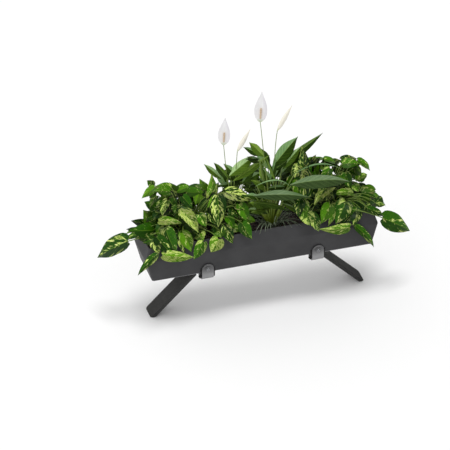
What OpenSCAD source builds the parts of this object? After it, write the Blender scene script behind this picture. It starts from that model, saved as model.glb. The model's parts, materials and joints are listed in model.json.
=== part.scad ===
// Planter divider: a long folded steel trough held by J-shaped clamps on two arms, over a
// beam with two splayed legs, with a lift-out liner and its plants.
// X runs along the trough, the front is at -Y, and the feet stand at Z = 0.

/* [Trough] */
// Length of the trough's floor, end to end
floor_len = 1290; // [1200:10:1500]
// Depth of the trough's floor, front to back
floor_depth = 246; // [236:2:280]
// Height of the trough's floor above the ground
floor_h = 313; // [290:1:360]
// Height of the lower band, from the floor up to the crease
band_h = 133; // [120:1:160]
// Height of the collar, from the crease up to the rim
collar_h = 76; // [60:1:90]
// How far each end flares out between the floor and the crease
end_flare = 35; // [20:1:50]
// How far the front and the back flare out between the floor and the crease
side_flare = 3; // [1:1:8]
// How far the collar leans in between the crease and the rim
collar_lean = 23; // [16:1:27]
// Thickness of the trough's sheet steel
sheet_t = 2.5; // [1.5:0.5:3]
// Plan radius of the trough's corners
corner_r = 14; // [12:1:24]
// Radius of the bend along the floor's edges
bend_r = 4; // [3:0.5:6]
// Depth of the hem folded back inside the rim
hem_h = 12; // [8:1:16]

/* [Drains] */
// Distance of each drain from the middle of the trough
drain_x = 180; // [120:5:220]
// How far the drains lie in front of the middle line
drain_y = 70; // [55:1:80]
// Bore radius of a drain spigot
drain_r = 12; // [9:0.5:14]
// Length of a drain spigot below the floor
drain_len = 14; // [10:1:18]
// Wall of a drain spigot
drain_wall = 3; // [2:0.5:4]
// Radial clearance of a plug in its spigot
plug_gap = 0.05; // [0.03:0.01:0.1]
// Thickness of a plug's head
plug_head_t = 5; // [4:1:8]

/* [Liner] */
// Gap between the liner's flange and the rim opening
liner_gap = 3; // [2:0.5:5]
// Wall of the liner
liner_t = 3; // [2:0.5:4]
// Width of the liner's flange
flange_w = 6; // [4:1:10]
// How much the liner narrows from its flange to its floor, on each side
liner_taper = 7; // [4:1:12]
// Drop from the rim to the liner's top edge
liner_drop = 12; // [8:1:16]
// Drop from the rim to the surface of the soil
soil_drop = 35; // [28:1:45]
// Depth of the drainage layer of clay pebbles
drainage_h = 35; // [20:1:50]
// Thickness of the filter fleece
fleece_t = 2; // [1:0.5:4]
// Radius of a plant's root ball
root_r = 64; // [60:1:68]
// Depth of a plant's root ball
root_h = 100; // [70:5:115]

/* [Arms and beam] */
// Distance of each arm and clamp from the middle of the trough
arm_x = 323; // [300:1:350]
// Width of an arm
arm_w = 60; // [56:1:66]
// Height of an arm
arm_h = 40; // [36:1:44]
// Length of an arm, front to back, with its end caps
arm_len = 190; // [180:2:190]
// Wall of the arms and the beam
tube_t = 3; // [2:0.5:4]
// Thickness of the rubber between metal and metal
pad_t = 3; // [2:0.5:4]
// Depth of the beam, front to back
beam_w = 60; // [50:1:64]
// Height of the beam
beam_h = 30; // [25:1:34]
// How far the beam and the legs stand behind the middle of the trough
frame_y = 20; // [0:1:22]
// Thickness of the flange plates between beam and leg
plate_t = 8; // [6:1:10]
// Width of the beam's end plate
end_plate_w = 72; // [68:1:74]

/* [Legs] */
// Width of a leg
leg_w = 105; // [95:1:115]
// Depth of a leg's folded flanges
leg_t = 20; // [16:1:26]
// Sheet thickness of a leg
leg_sheet = 5; // [4:0.5:6]
// Distance from the middle to a foot's outer edge on the ground
foot_x = 630; // [600:1:660]
// Radius of a foot's corners
foot_r = 16; // [8:1:24]
// Thickness of the plate that closes a foot
foot_plate_t = 6; // [4:1:8]

/* [Clamps] */
// Width of a clamp strap
strap_w = 68; // [60:1:72]
// Thickness of a clamp strap
strap_t = 6; // [4:0.5:7]
// Width of the rubber pad under a strap
strap_pad_w = 84; // [76:1:90]
// How far a clamp's round top rises above the trough's floor
strap_rise = 61; // [55:1:70]
// How far the clamp's bend starts below the trough's floor
bend_drop = 15; // [8:1:18]
// Radius of a clamp bolt
bolt_r = 5; // [4:0.5:6]
// Clearance of a bolt in its hole, and of a nut on its bolt
bolt_gap = 0.25; // [0.1:0.05:0.5]
// Radius of a clamp's cover washer
washer_r = 19; // [15:1:22]
// Thickness of a clamp's cover washer
washer_t = 3; // [2:0.5:4]
// Radius of a clamp bolt's button head
head_r = 10; // [8:0.5:12]
// Height of a bolt head
head_h = 6; // [4:0.5:7]
// Thickness of a nut
nut_t = 8; // [6:0.5:9]

/* [Rail brackets] */
// Distance of each rail bracket from the middle
bracket_x = 200; // [150:5:230]
// Width of a rail bracket
bracket_w = 90; // [80:2:110]
// Height of a rail bracket
bracket_h = 75; // [65:1:85]
// Thickness of a rail bracket
bracket_t = 6; // [5:1:8]
// Distance between a bracket's two holes
bracket_pitch = 50; // [40:1:60]
// Radius of a bracket's holes
bracket_hole_r = 5.5; // [4.5:0.25:6.5]

/* [Plants] */
// Distance of a pothos root from the trough's end
pothos_inset = 215; // [200:5:240]
// Radius of a pothos leaf stalk
stalk_r = 2.2; // [1.6:0.1:2.6]
// Radius of a lily leaf stalk
lily_stalk_r = 3.4; // [2.6:0.1:4]
// Thickness of a leaf along its midrib
leaf_t = 2.4; // [1.6:0.1:3]
// Radius of the crown that a pothos's stalks grow from
pothos_crown_r = 58; // [50:1:60]
// Radius of the crown that a lily's stalks grow from
lily_crown_r = 40; // [34:1:46]
// Height of a plant's crown
crown_h = 8; // [6:1:12]
// Number of grass blades
grass_count = 14; // [6:1:18]
// Reach of a grass blade
grass_len = 105; // [80:5:120]
// Thickness of a grass blade
grass_t = 1.6; // [1:0.1:2]

/* [Hidden] */
$fn = 48;

steel_dark = "#454546";
steel_leg = "#3c3c3d";
steel_clamp = "#77797c";
steel_zinc = "#9a9c9f";
rubber_black = "#1b1b1c";
liner_black = "#242425";
soil_brown = "#3a2c22";
clay_orange = "#8a5a40";
fleece_grey = "#b9b7b0";
leaf_green = "#3f6a1c";
lily_green = "#3c6a45";
spathe_white = "#f0efe8";
spadix_cream = "#d9c7a4";
grass_green = "#2f3d2c";

// Small gap that keeps two soft or sloping faces apart
skin = 0.3;
// Length by which a cutting body passes the face that it cuts
over = 1;
corner_steps = 4;

crease_z = floor_h + band_h;
rim_z = crease_z + collar_h;
crease_half_len = floor_len / 2 + end_flare;
crease_half_depth = floor_depth / 2 + side_flare;
soil_z = rim_z - soil_drop;
liner_top_z = rim_z - liner_drop;
liner_floor_z = floor_h + sheet_t;
hem_t = 2 * sheet_t;
// Half length and half depth of the liner's flange
flange_half_len = crease_half_len - collar_lean - hem_t - liner_gap;
flange_half_depth = crease_half_depth - collar_lean - hem_t - liner_gap;
drainage_z = liner_floor_z + liner_t;
fleece_z = drainage_z + drainage_h;
substrate_z = fleece_z + fleece_t;

arm_top_z = floor_h - pad_t;
arm_bottom_z = arm_top_z - arm_h;
arm_cap_t = 3;
beam_bottom_z = arm_bottom_z - beam_h;
end_plate_x = arm_x + arm_w / 2;
head_plate_x = end_plate_x + plate_t;
leg_top_x = head_plate_x + plate_t;
// A leg stands at 45 degrees, so its cut on the ground is this long
foot_cut = leg_t * sqrt(2);
flange_bolt_z = arm_bottom_z + arm_h * 0.42;
flange_bolt_pitch = 24;
plate_top_z = arm_top_z - 3;

strap_top_z = floor_h + strap_rise;
strap_bolt_z = strap_top_z - strap_w / 2;
// Front face of the trough where a strap's top lies on it
strap_seat_y = floor_depth / 2 + side_flare * strap_rise / band_h;
pad_seat_y = floor_depth / 2 + side_flare * bend_r / band_h;
strap_bend_z = floor_h - bend_drop;
strap_bend_r = strap_bend_z - arm_bottom_z;
strap_foot_y = 80;
strap_run_y = 58;
strap_screw_y = 69;
strap_screw_x = 18;
screw_r = 3;
screw_head_r = 5.5;
screw_head_h = 4;
washer_y = strap_seat_y + pad_t + strap_t;
head_y = washer_y + washer_t;
nut_y = floor_depth / 2 + side_flare * (strap_bolt_z - floor_h) / band_h - sheet_t - skin;
bolt_end_y = nut_y - nut_t - 2;

// Plan sizes that the planting was drawn for
plan_half_depth = 126;
depth_k = crease_half_depth / plan_half_depth;
root_y = -10;
pothos_root_x = floor_len / 2 - pothos_inset;
right_shift = 25;
lily_root_x = 85;
small_lily_root_x = -130;
small_lily_root_y = 12;
lily_root_y = -12;
// Height of the crown's disc, as a share of the crown's height
crown_disc = 0.75;
// Least height above the rim of a leaf that lies over the trough
rim_clear = 31;
// How far a short stalk's bow is drawn up above the rim
arch_rise = 52;
pothos_spread = pothos_crown_r * 0.75 / 340;
lily_spread = lily_crown_r * 0.65 / 180;

// The trough

function half_len(z) = z <= crease_z
    ? floor_len / 2 + end_flare * (z - floor_h) / band_h
    : crease_half_len - collar_lean * (z - crease_z) / collar_h;

function half_depth(z) = z <= crease_z
    ? floor_depth / 2 + side_flare * (z - floor_h) / band_h
    : crease_half_depth - collar_lean * (z - crease_z) / collar_h;

// One closed rounded rectangle, counter-clockwise seen from above
function plan_ring(hl, hd, r, z) = [
    for (q = [0:3])
        for (i = [0:corner_steps])
            let (a = 90 * (q + i / corner_steps),
                 sx = (q == 0 || q == 3) ? 1 : -1,
                 sy = q < 2 ? 1 : -1)
            [sx * (hl - r) + r * cos(a), sy * (hd - r) + r * sin(a), z]];

function wall_ring(z, inset) =
    plan_ring(half_len(z) - inset, half_depth(z) - inset, corner_r - inset, z);

// Solid through a list of rings with equally many points, closed at both ends
module loft(rings) {
    n = len(rings[0]);
    m = len(rings);
    points = [for (r = rings) for (p = r) p];
    sides = [
        for (i = [0:m - 2])
            for (j = [0:n - 1])
                let (a = i * n + j, b = i * n + (j + 1) % n)
                each [[a, a + n, b + n], [a, b + n, b]]];
    start = [[for (j = [0:n - 1]) j]];
    end = [[for (j = [n - 1:-1:0]) (m - 1) * n + j]];
    polyhedron(points = points, faces = concat(sides, start, end), convexity = 10);
}

module trough_shell() {
    bend = [for (a = [0:30:90])
        wall_ring(floor_h + bend_r * (1 - cos(a)), bend_r * (1 - sin(a)))];
    outer = concat(bend, [wall_ring(crease_z, 0), wall_ring(rim_z - 1, 0), wall_ring(rim_z, 1)]);
    inner = [wall_ring(rim_z, hem_t - 1), wall_ring(rim_z - 1, hem_t),
             wall_ring(rim_z - hem_h, hem_t), wall_ring(rim_z - hem_h, sheet_t),
             wall_ring(crease_z, sheet_t), wall_ring(floor_h + bend_r, sheet_t),
             wall_ring(floor_h + sheet_t, bend_r)];
    color(steel_dark)
    difference() {
        loft(concat(outer, inner));
        for (s = [-1, 1])
            translate([s * drain_x, -drain_y, floor_h - over])
                cylinder(r = drain_r, h = sheet_t + 2 * over);
        clamp_bolt_holes(floor_depth);
    }
}

// Bores for the four clamp bolts, along Y
module clamp_bolt_holes(reach) {
    for (sx = [-1, 1])
        translate([sx * arm_x, 0, strap_bolt_z])
            rotate([90, 0, 0])
                cylinder(r = bolt_r + bolt_gap, h = reach + 100, center = true);
}

module drain_spigots() {
    color(steel_dark)
    for (s = [-1, 1])
        translate([s * drain_x, -drain_y, floor_h - drain_len])
            difference() {
                cylinder(r = drain_r + drain_wall, h = drain_len);
                translate([0, 0, -over]) cylinder(r = drain_r, h = drain_len + 2 * over);
            }
}

// Push-in plug with a grip bar under its head
module drain_plug(side) {
    head_r0 = drain_r + drain_wall;
    grip = [1.4 * drain_r, 5, 6];
    color(rubber_black)
    translate([side * drain_x, -drain_y, floor_h - drain_len - plug_head_t]) {
        cylinder(r = head_r0, h = plug_head_t);
        cylinder(r = drain_r - plug_gap, h = plug_head_t + drain_len);
        translate([-grip.x / 2, -grip.y / 2, -grip.z]) cube([grip.x, grip.y, grip.z + over]);
    }
}

// The liner and what fills it

// Inset of the liner's wall from its flange at height z
function liner_inset(z) = flange_w + liner_taper * (liner_top_z - z) / (liner_top_z - liner_floor_z);

function liner_ring(z, extra) = let (i = liner_inset(z) + extra)
    plan_ring(flange_half_len - i, flange_half_depth - i, corner_r, z);

module liner_tray() {
    flange_z = liner_top_z - liner_t;
    color(liner_black)
    loft([liner_ring(liner_floor_z, 0), liner_ring(flange_z, 0),
          plan_ring(flange_half_len, flange_half_depth, corner_r, flange_z),
          plan_ring(flange_half_len, flange_half_depth, corner_r, liner_top_z),
          liner_ring(liner_top_z, liner_t), liner_ring(drainage_z, liner_t)]);
}

// One layer of the filling, between two heights
module layer(z0, z1) {
    loft([liner_ring(z0, liner_t + skin), liner_ring(z1, liner_t + skin)]);
}

module drainage_layer() {
    color(clay_orange) layer(drainage_z, fleece_z);
}

module filter_fleece() {
    color(fleece_grey) layer(fleece_z, substrate_z);
}

module substrate() {
    color(soil_brown)
    difference() {
        layer(substrate_z, soil_z);
        for (p = root_places)
            translate([p.x, p.y, soil_z - root_h - skin])
                cylinder(r = root_r + skin, h = root_h + skin + over);
    }
}

root_places = [[-pothos_root_x, root_y], [pothos_root_x - right_shift, root_y],
               [lily_root_x, lily_root_y], [small_lily_root_x, small_lily_root_y]];

module root_ball(p) {
    color(soil_brown)
    translate([p.x, p.y, soil_z - root_h]) cylinder(r = root_r, h = root_h);
}

// The plants

function unit(v) = v / norm(v);
function mix(a, b, t) = a + (b - a) * t;
function bow_point(a, c, b, t) = (1 - t) * (1 - t) * a + 2 * t * (1 - t) * c + t * t * b;
function bow_dir(a, c, b, t) = unit((1 - t) * (c - a) + t * (b - c));

// Half width of a leaf along its length, as a share of the widest half width
heart_shape = [[0, 0.35], [0.12, 0.88], [0.40, 0.96], [0.75, 0.48], [1, 0.03]];
lance_shape = [[0, 0.10], [0.18, 0.62], [0.42, 1], [0.66, 0.80], [0.86, 0.34], [1, 0.03]];
blade_shape = [[0, 1], [0.35, 1], [0.7, 0.75], [1, 0.1]];

// Point that a leaf's bowed midrib heads for
function leaf_mid(a, b, n, bow) = mix(a, b, 0.5) + 2 * bow * unit(n);

// Leaf from its base a to its tip b. Its face looks towards n, the midrib bows that way,
// and both halves fold up from the midrib.
module leaf(a, b, w, n, bow, fold, shape, thick) {
    c = leaf_mid(a, b, n, bow);
    loft([for (s = shape)
        let (p = bow_point(a, c, b, s[0]),
             d = bow_dir(a, c, b, s[0]),
             side = unit(cross(n, d)),
             up = cross(d, side),
             hw = w / 2 * s[1],
             th = thick / 2 * (0.35 + 0.65 * s[1]))
        [p + side * hw + up * fold * hw, p + up * th, p - side * hw + up * fold * hw, p - up * th]]);
}

// Stalk that leaves a towards c and ends at b. Its bow lies in one plane, and e is square to it.
module stalk(a, c, b, r, rings, sides) {
    n = cross(c - a, b - a);
    e = unit(norm(n) > 0.001 ? n : cross([0, 1, 0], b - a));
    loft([for (i = [0:rings - 1])
        let (t = i / (rings - 1),
             d = bow_dir(a, c, b, t),
             f = cross(d, e))
        [for (j = [0:sides - 1])
            let (v = 360 * j / sides)
            bow_point(a, c, b, t) + r * (e * cos(v) + f * sin(v))]]);
}

// Leaf places of the pothos: base, tip and width. X is measured from the root towards the
// middle of the trough, Y from the middle line, and Z from the rim.
pothos_plan = [
    [[-170, -10, 58], [-330, -30, 98], 80],
    [[-190, 50, 30], [-320, 60, 15], 45],
    [[-190, -142, -12], [-310, -152, -130], 45],
    [[-160, -140, -28], [20, -152, -70], 60],
    [[-120, -80, 98], [-80, -150, -20], 90],
    [[-180, -95, 68], [-100, -142, -40], 65],
    [[-190, -95, 45], [-180, -142, -15], 60],
    [[-20, -20, 178], [60, -110, 58], 80],
    [[-140, 0, 108], [-20, -60, 108], 50],
    [[-50, 60, 278], [-140, 80, 288], 45],
    [[-70, 20, 278], [-170, 10, 308], 55],
    [[-150, 40, 308], [-230, 30, 258], 45],
    [[50, 60, 258], [-20, 80, 218], 45],
    [[150, 60, 208], [50, 100, 238], 65],
    [[170, 20, 188], [180, 40, 338], 60],
    [[180, -10, 208], [130, -40, 168], 35],
    [[200, -10, 218], [180, -90, 58], 85],
    [[250, 0, 228], [400, -40, 168], 70],
    [[320, -40, 158], [360, -80, 48], 60],
    [[320, -90, 60], [360, -142, -22], 65],
    [[220, -85, 55], [250, -142, -32], 60],
    [[170, -130, 8], [120, -145, -62], 75],
    [[80, -130, 8], [20, -145, -92], 60],
    [[-30, -95, 68], [10, -138, -42], 70],
    [[-60, -120, 45], [-30, -136, -52], 30],
    [[-150, 50, 168], [-200, 80, 198], 50],
    [[-132, 33, 138], [-170, 10, 118], 50],
    [[-90, 0, 238], [-130, -30, 158], 50],
    [[-40, -20, 208], [-60, -60, 178], 50],
    [[3, 12, 239], [50, -20, 168], 50],
    [[110, 50, 228], [80, 20, 158], 55],
    [[80, -50, 138], [110, -90, 78], 55],
    [[140, -40, 128], [170, -80, 68], 45],
    [[270, -20, 138], [310, -60, 78], 60],
    [[240, -60, 98], [270, -90, 38], 55],
    [[240, 30, 188], [290, 10, 118], 40],
    [[-90, 60, 188], [-140, 90, 138], 40],
    [[292, -40, 147], [382, -30, 107], 50],
    [[-180, 20, 98], [-160, 0, 28], 45],
    [[-100, 80, 110], [-120, 150, 30], 75],
    [[-10, 90, 120], [20, 160, 20], 70],
    [[90, 85, 100], [120, 155, 0], 75],
    [[190, 80, 110], [180, 160, 30], 70],
    [[270, 75, 70], [320, 150, 10], 65]];

// Leaves that reach out past the left end, and those that do so on the right
left_end_plan = [[[-321, -12, 8], [-469, 120, -155], 80]];
right_end_plan = [[[-203, -150, -1], [-475, -100, -183], 80]];

function mirror_x(p) = [-p.x, p.y, p.z];

// Places on the right are the left ones mirrored, and leant over to the front
function plan_right(p) = [-p.x + 0.6 * p.y, p.y, p.z + 0.4 * p.x + 20 - 0.12 * p.y];

// Whatever lies over the trough stays above its rim
function seat(root_x, p) =
    let (x = root_x + p.x, y = p.y * depth_k,
         inside = abs(x) < crease_half_len && abs(y) < crease_half_depth + 4)
    [x, y, rim_z + (inside ? max(p.z, rim_clear) : p.z)];

// A leaf looks up, and outwards from the middle of its plant
function face_dir(root_x, m) = unit([(m.x - root_x) * 0.0012, m.y * 0.006 - 0.15, 0.8]);

// Disc on the soil that the stalks grow from, with a ring of short shoots round its edge
module plant_crown(p, crown_r) {
    shoots = 9;
    shoot_r = crown_r * 0.15;
    translate([p.x, p.y, soil_z]) {
        cylinder(r = crown_r, h = crown_disc * crown_h, $fn = 12);
        for (i = [0:shoots - 1])
            rotate([0, 0, 360 * (i + 0.3) / shoots])
                hull() {
                    translate([crown_r - 1.2 * shoot_r, 0, 0]) cylinder(r = shoot_r, h = 1, $fn = 6);
                    translate([crown_r - 1.8 * shoot_r, 0, crown_h]) cylinder(r = shoot_r / 2, h = 1, $fn = 6);
                }
    }
}

// A plant's stalks start spread over its crown, in the order of the leaves that they carry.
// The spread is the crown's share of the leaf's own distance along X, and twice that along Y.
function stalk_root(p, b, spread) =
    [p.x + spread * (b.x - p.x), p.y + 2 * spread * (b.y - p.y),
     soil_z + 0.6 * crown_disc * crown_h];

// High point of a stalk on its way to b
function stalk_arch(a, b) = let (v = [b.x - a.x, b.y - a.y])
    [a.x + 0.5 * v.x, a.y + 0.3 * v.y, max(b.z, rim_z) + arch_rise + 0.3 * norm(v)];

module pothos_leaf(p, a, b, w) {
    n = face_dir(p.x, mix(a, b, 0.5));
    root = stalk_root(p, a, pothos_spread);
    bow = 0.1 * norm(b - a);
    leaf(a, b, w, n, bow, 0.16, heart_shape, leaf_t);
    stalk(root, stalk_arch(root, a), bow_point(a, leaf_mid(a, b, n, bow), b, 0.08), stalk_r, 5, 3);
}

// Each pothos leaves room for the lily that it grows into
module pothos_left() {
    p = root_places[0];
    color(leaf_green)
    difference() {
        union() {
            plant_crown(p, pothos_crown_r);
            for (l = concat(pothos_plan, left_end_plan))
                pothos_leaf(p, seat(p.x, l[0]), seat(p.x, l[1]), l[2]);
        }
        lily(3, small_lily_plan, skin);
    }
}

module pothos_right() {
    p = root_places[1];
    color(leaf_green)
    difference() {
        union() {
            plant_crown(p, pothos_crown_r);
            for (l = pothos_plan)
                pothos_leaf(p, seat(p.x, plan_right(l[0])), seat(p.x, plan_right(l[1])), l[2]);
            for (l = right_end_plan)
                pothos_leaf(p, seat(p.x, mirror_x(l[0])), seat(p.x, mirror_x(l[1])), l[2]);
        }
        lily(2, lily_plan, skin);
    }
}

// Leaf places of the lilies: base, tip, width and bow. X is measured from the middle of the
// trough, Y from the middle line, and Z from the rim.
lily_plan = [
    [[100, 20, 328], [260, 60, 478], 70, 12],
    [[100, 0, 318], [400, 40, 488], 45, -14],
    [[150, 10, 308], [270, 30, 428], 45, 8],
    [[40, -10, 428], [-40, 10, 528], 45, 6],
    [[40, 30, 408], [-60, 60, 468], 35, 6],
    [[190, -20, 218], [540, -40, 188], 65, 45],
    [[-40, -65, 214], [282, -118, 176], 55, 35],
    [[-50, -60, 168], [40, -90, 138], 45, 12],
    [[180, 0, 208], [510, 20, 178], 12, 70],
    [[-60, -30, 228], [200, -50, 208], 12, 40],
    [[60, 10, 208], [30, 20, 368], 40, 5],
    [[110, -20, 248], [50, -10, 428], 20, 5],
    [[130, 30, 248], [240, 50, 268], 40, 8],
    [[0, 30, 208], [-70, 40, 238], 35, 6],
    [[60, -10, 208], [170, -10, 198], 35, 10],
    [[160, -70, 208], [200, -110, 138], 30, 6],
    [[190, -60, 168], [250, -90, 98], 30, 6],
    [[90, 60, 290], [60, 170, 380], 60, 12],
    [[120, 50, 230], [230, 165, 290], 55, 14],
    [[60, 60, 250], [-30, 175, 260], 55, 14]];

small_lily_plan = [
    [[-150, 30, 308], [10, 60, 398], 60, 10],
    [[-130, 20, 278], [90, 40, 398], 40, -10],
    [[-80, 30, 238], [10, 50, 338], 40, 6],
    [[-160, 20, 298], [-240, 30, 418], 35, 6],
    [[-190, 40, 288], [-290, 60, 398], 35, 6],
    [[-160, 50, 268], [-100, 70, 308], 35, 5],
    [[-150, 60, 210], [-190, 165, 300], 50, 12],
    [[-110, 60, 200], [-60, 170, 230], 50, 12]];

// Flowers: root index, bend of the stem, foot and tip of the white leaf, its width
flower_plan = [
    [2, [50, 30, 458], [30, 30, 638], [40, 30, 838], 65],
    [2, [110, 30, 428], [130, 30, 558], [220, 40, 708], 25],
    [3, [-170, 40, 398], [-180, 40, 518], [-170, 40, 698], 60],
    [3, [-110, 40, 338], [-100, 40, 458], [-20, 50, 588], 25]];

// A lily leaf looks up and a little to the front
lily_face = unit([-0.15, -0.55, 0.8]);

function lily_seat(p) = [p.x, p.y * depth_k, rim_z + p.z];

module lily_leaf(p, l, extra) {
    a = lily_seat(l[0]);
    b = lily_seat(l[1]);
    root = stalk_root(p, a, lily_spread);
    high = [mix(root.x, a.x, 0.55), mix(root.y, a.y, 0.5), mix(root.z, a.z, 0.75)];
    n = unit(lily_face - unit(b - a) * (lily_face * unit(b - a)));
    leaf(a, b, l[2] + 6 * extra, n, l[3], 0.25, lance_shape, leaf_t + 2 * extra);
    stalk(root, high, bow_point(a, leaf_mid(a, b, n, l[3]), b, 0.08), lily_stalk_r + 2 * extra, 4, 4);
}

module flower_stem(f, extra) {
    p = root_places[f[0]];
    foot = lily_seat(f[2]);
    stalk(stalk_root(p, foot, lily_spread), lily_seat(f[1]), foot, lily_stalk_r * 0.75 + 2 * extra, 7, 6);
}

// One lily, or the space that it needs with a little extra all round
module lily(index, plan, extra) {
    p = root_places[index];
    plant_crown(p, lily_crown_r);
    for (l = plan) lily_leaf(p, l, extra);
    for (f = flower_plan) if (f[0] == index) flower_stem(f, extra);
}

module peace_lily() {
    color(lily_green) union() lily(2, lily_plan, 0);
}

module small_peace_lily() {
    color(lily_green) union() lily(3, small_lily_plan, 0);
}

flower_face = unit([-0.3, -0.8, 0.25]);
spathe_bow = -4;
spathe_fold = 0.35;
spadix_r = 4.5;
// A white leaf wider than this is seen from the front, and has a full-sized spike
wide_spathe = 40;

module spathes() {
    color(spathe_white)
    for (f = flower_plan) {
        a = lily_seat(f[2]);
        b = lily_seat(f[3]);
        leaf(a + skin * unit(b - a), b, f[4], flower_face, spathe_bow, spathe_fold, lance_shape, leaf_t);
    }
}

// Flower spike that lies in the fold of a white leaf, along the leaf's bowed midrib
module spadix(a, b, r) {
    mid = leaf_mid(a, b, flower_face, spathe_bow);
    side = unit(cross(flower_face, b - a));
    out = unit(cross(b - a, side)) * (leaf_t / 2 + (r + skin) * sqrt(1 + spathe_fold * spathe_fold));
    from = bow_point(a, mid, b, 0.12) + out;
    to = bow_point(a, mid, b, 0.5) + out;
    half = bow_point(a, mid, b, 0.31) + out;
    stalk(from, 2 * half - (from + to) / 2, to, r, 4, 6);
}

module spadices() {
    color(spadix_cream)
    for (f = flower_plan)
        spadix(lily_seat(f[2]), lily_seat(f[3]), f[4] > wide_spathe ? spadix_r : spadix_r * 0.6);
}

module grass_tuft() {
    color(grass_green)
    for (i = [0:grass_count - 1]) {
        a = 180 + 360 * i / grass_count;
        reach = grass_len * (0.75 + 0.25 * cos(137 * i));
        foot_r = lily_crown_r + 14;
        foot_a = [lily_root_x + foot_r * cos(a), lily_root_y + foot_r * sin(a),
                  soil_z + grass_t / 2 + skin];
        foot_b = foot_a + [reach * cos(a), 0.35 * reach * sin(a), 55];
        leaf(foot_a, foot_b, 5, [0, 0, 1], 22, 0.1, blade_shape, grass_t);
    }
}

// The frame under the trough

module arm(side) {
    inner_len = arm_len - 2 * arm_cap_t;
    color(steel_dark)
    translate([side * arm_x, 0, arm_bottom_z])
        difference() {
            translate([-arm_w / 2, -inner_len / 2, 0]) cube([arm_w, inner_len, arm_h]);
            translate([-arm_w / 2 + tube_t, -inner_len / 2 - over, tube_t])
                cube([arm_w - 2 * tube_t, inner_len + 2 * over, arm_h - 2 * tube_t]);
            for (sy = [-1, 1])
                for (sx = [-1, 1])
                    translate([sx * strap_screw_x, sy * strap_screw_y, -over])
                        cylinder(r = screw_r + bolt_gap, h = tube_t + 2 * over);
            for (i = [-1.5:1:1.5])
                translate([side * (arm_w / 2 - tube_t - over), frame_y + i * flange_bolt_pitch,
                           flange_bolt_z - arm_bottom_z])
                    rotate([0, side * 90, 0])
                        cylinder(r = bolt_r + bolt_gap, h = tube_t + 2 * over);
        }
}

module arm_pad(side) {
    color(rubber_black)
    translate([side * arm_x - arm_w / 2, -arm_len / 2, arm_top_z]) cube([arm_w, arm_len, pad_t]);
}

// Plugs in the open ends of the two arms
module arm_end_caps() {
    plug_len = 12;
    fit = 0.2;
    color(rubber_black)
    for (sx = [-1, 1])
        for (sy = [-1, 1])
            translate([sx * arm_x, sy * (arm_len / 2 - arm_cap_t), arm_bottom_z])
                union() {
                    translate([-arm_w / 2, sy > 0 ? 0 : -arm_cap_t, 0]) cube([arm_w, arm_cap_t, arm_h]);
                    translate([-arm_w / 2 + tube_t + fit, sy > 0 ? -plug_len : -over, tube_t + fit])
                        cube([arm_w - 2 * tube_t - 2 * fit, plug_len + over, arm_h - 2 * tube_t - 2 * fit]);
                }
}

module cross_beam() {
    color(steel_dark)
    difference() {
        translate([-end_plate_x, frame_y - beam_w / 2, beam_bottom_z])
            cube([2 * end_plate_x, beam_w, beam_h]);
        translate([-end_plate_x - over, frame_y - beam_w / 2 + tube_t, beam_bottom_z + tube_t])
            cube([2 * end_plate_x + 2 * over, beam_w - 2 * tube_t, beam_h - 2 * tube_t]);
    }
}

// Upright plate with its lower edge cut along the underside of the leg
module flange_plate(side, x, w) {
    low_z = foot_x - foot_cut - x;
    outline = [[0, low_z], [plate_t, low_z - plate_t], [plate_t, plate_top_z], [0, plate_top_z]];
    color(steel_dark)
    scale_x(side)
        difference() {
            translate([x, frame_y + w / 2, 0])
                rotate([90, 0, 0])
                    linear_extrude(height = w) polygon(outline);
            for (i = [-1.5:1:1.5])
                translate([x - over, frame_y + i * flange_bolt_pitch, flange_bolt_z])
                    rotate([0, 90, 0])
                        cylinder(r = bolt_r + bolt_gap, h = plate_t + 2 * over);
        }
}

// Right side as drawn, left side mirrored
module scale_x(side) {
    if (side > 0) children();
    else mirror([1, 0, 0]) children();
}

// A leg as seen from the front: outer skin line, inner skin line and both cuts
function leg_outline(t0, t1) = let (o = foot_x - t0 * sqrt(2), i = foot_x - t1 * sqrt(2))
    [[i, 0], [o, 0], [leg_top_x, o - leg_top_x], [leg_top_x, i - leg_top_x]];

module leg_slab(t0, t1, y0, y1) {
    translate([0, y1, 0])
        rotate([90, 0, 0])
            linear_extrude(height = y1 - y0) polygon(leg_outline(t0, t1));
}

// Folded channel at 45 degrees, open below, with round corners at the foot
module leg(side) {
    y0 = frame_y - leg_w / 2;
    y1 = frame_y + leg_w / 2;
    color(steel_leg)
    scale_x(side)
        difference() {
            union() {
                leg_slab(0, leg_sheet, y0, y1);
                leg_slab(0, leg_t, y0, y0 + leg_sheet);
                leg_slab(0, leg_t, y1 - leg_sheet, y1);
            }
            for (s = [-1, 1])
                translate([foot_x, frame_y + s * leg_w / 2, 0])
                    rotate([0, 45, 0])
                        foot_corner(s);
        }
}

// What is cut away outside one round corner, in the plane of the leg's face
module foot_corner(s) {
    deep = 2 * leg_t;
    difference() {
        translate([-foot_r, s > 0 ? -foot_r : -over, -deep]) cube([foot_r + 2 * over + leg_t, foot_r + over, 2 * deep]);
        translate([-foot_r, -s * foot_r, -deep - over]) cylinder(r = foot_r, h = 2 * deep + 2 * over);
    }
}

module foot_plate(side) {
    y0 = frame_y - leg_w / 2 + leg_sheet;
    y1 = frame_y + leg_w / 2 - leg_sheet;
    i = foot_x - leg_t * sqrt(2);
    o = foot_x - leg_sheet * sqrt(2);
    color(steel_leg)
    scale_x(side)
        translate([0, y1, 0])
            rotate([90, 0, 0])
                linear_extrude(height = y1 - y0)
                    polygon([[i, 0], [o, 0], [o - foot_plate_t, foot_plate_t], [i - foot_plate_t, foot_plate_t]]);
}

// The clamps

// Quarter bend of a clamp at a distance d outside its inner line
function clamp_bend(d) = [for (a = [0:10:90])
    let (r = strap_bend_r + (strap_seat_y - pad_seat_y) * (d > 0 ? 1 : 0) + d)
    [bend_y() + r * cos(a), strap_bend_z - (strap_bend_r + d) * sin(a)]];

function bend_y() = pad_seat_y - strap_bend_r;

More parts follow.
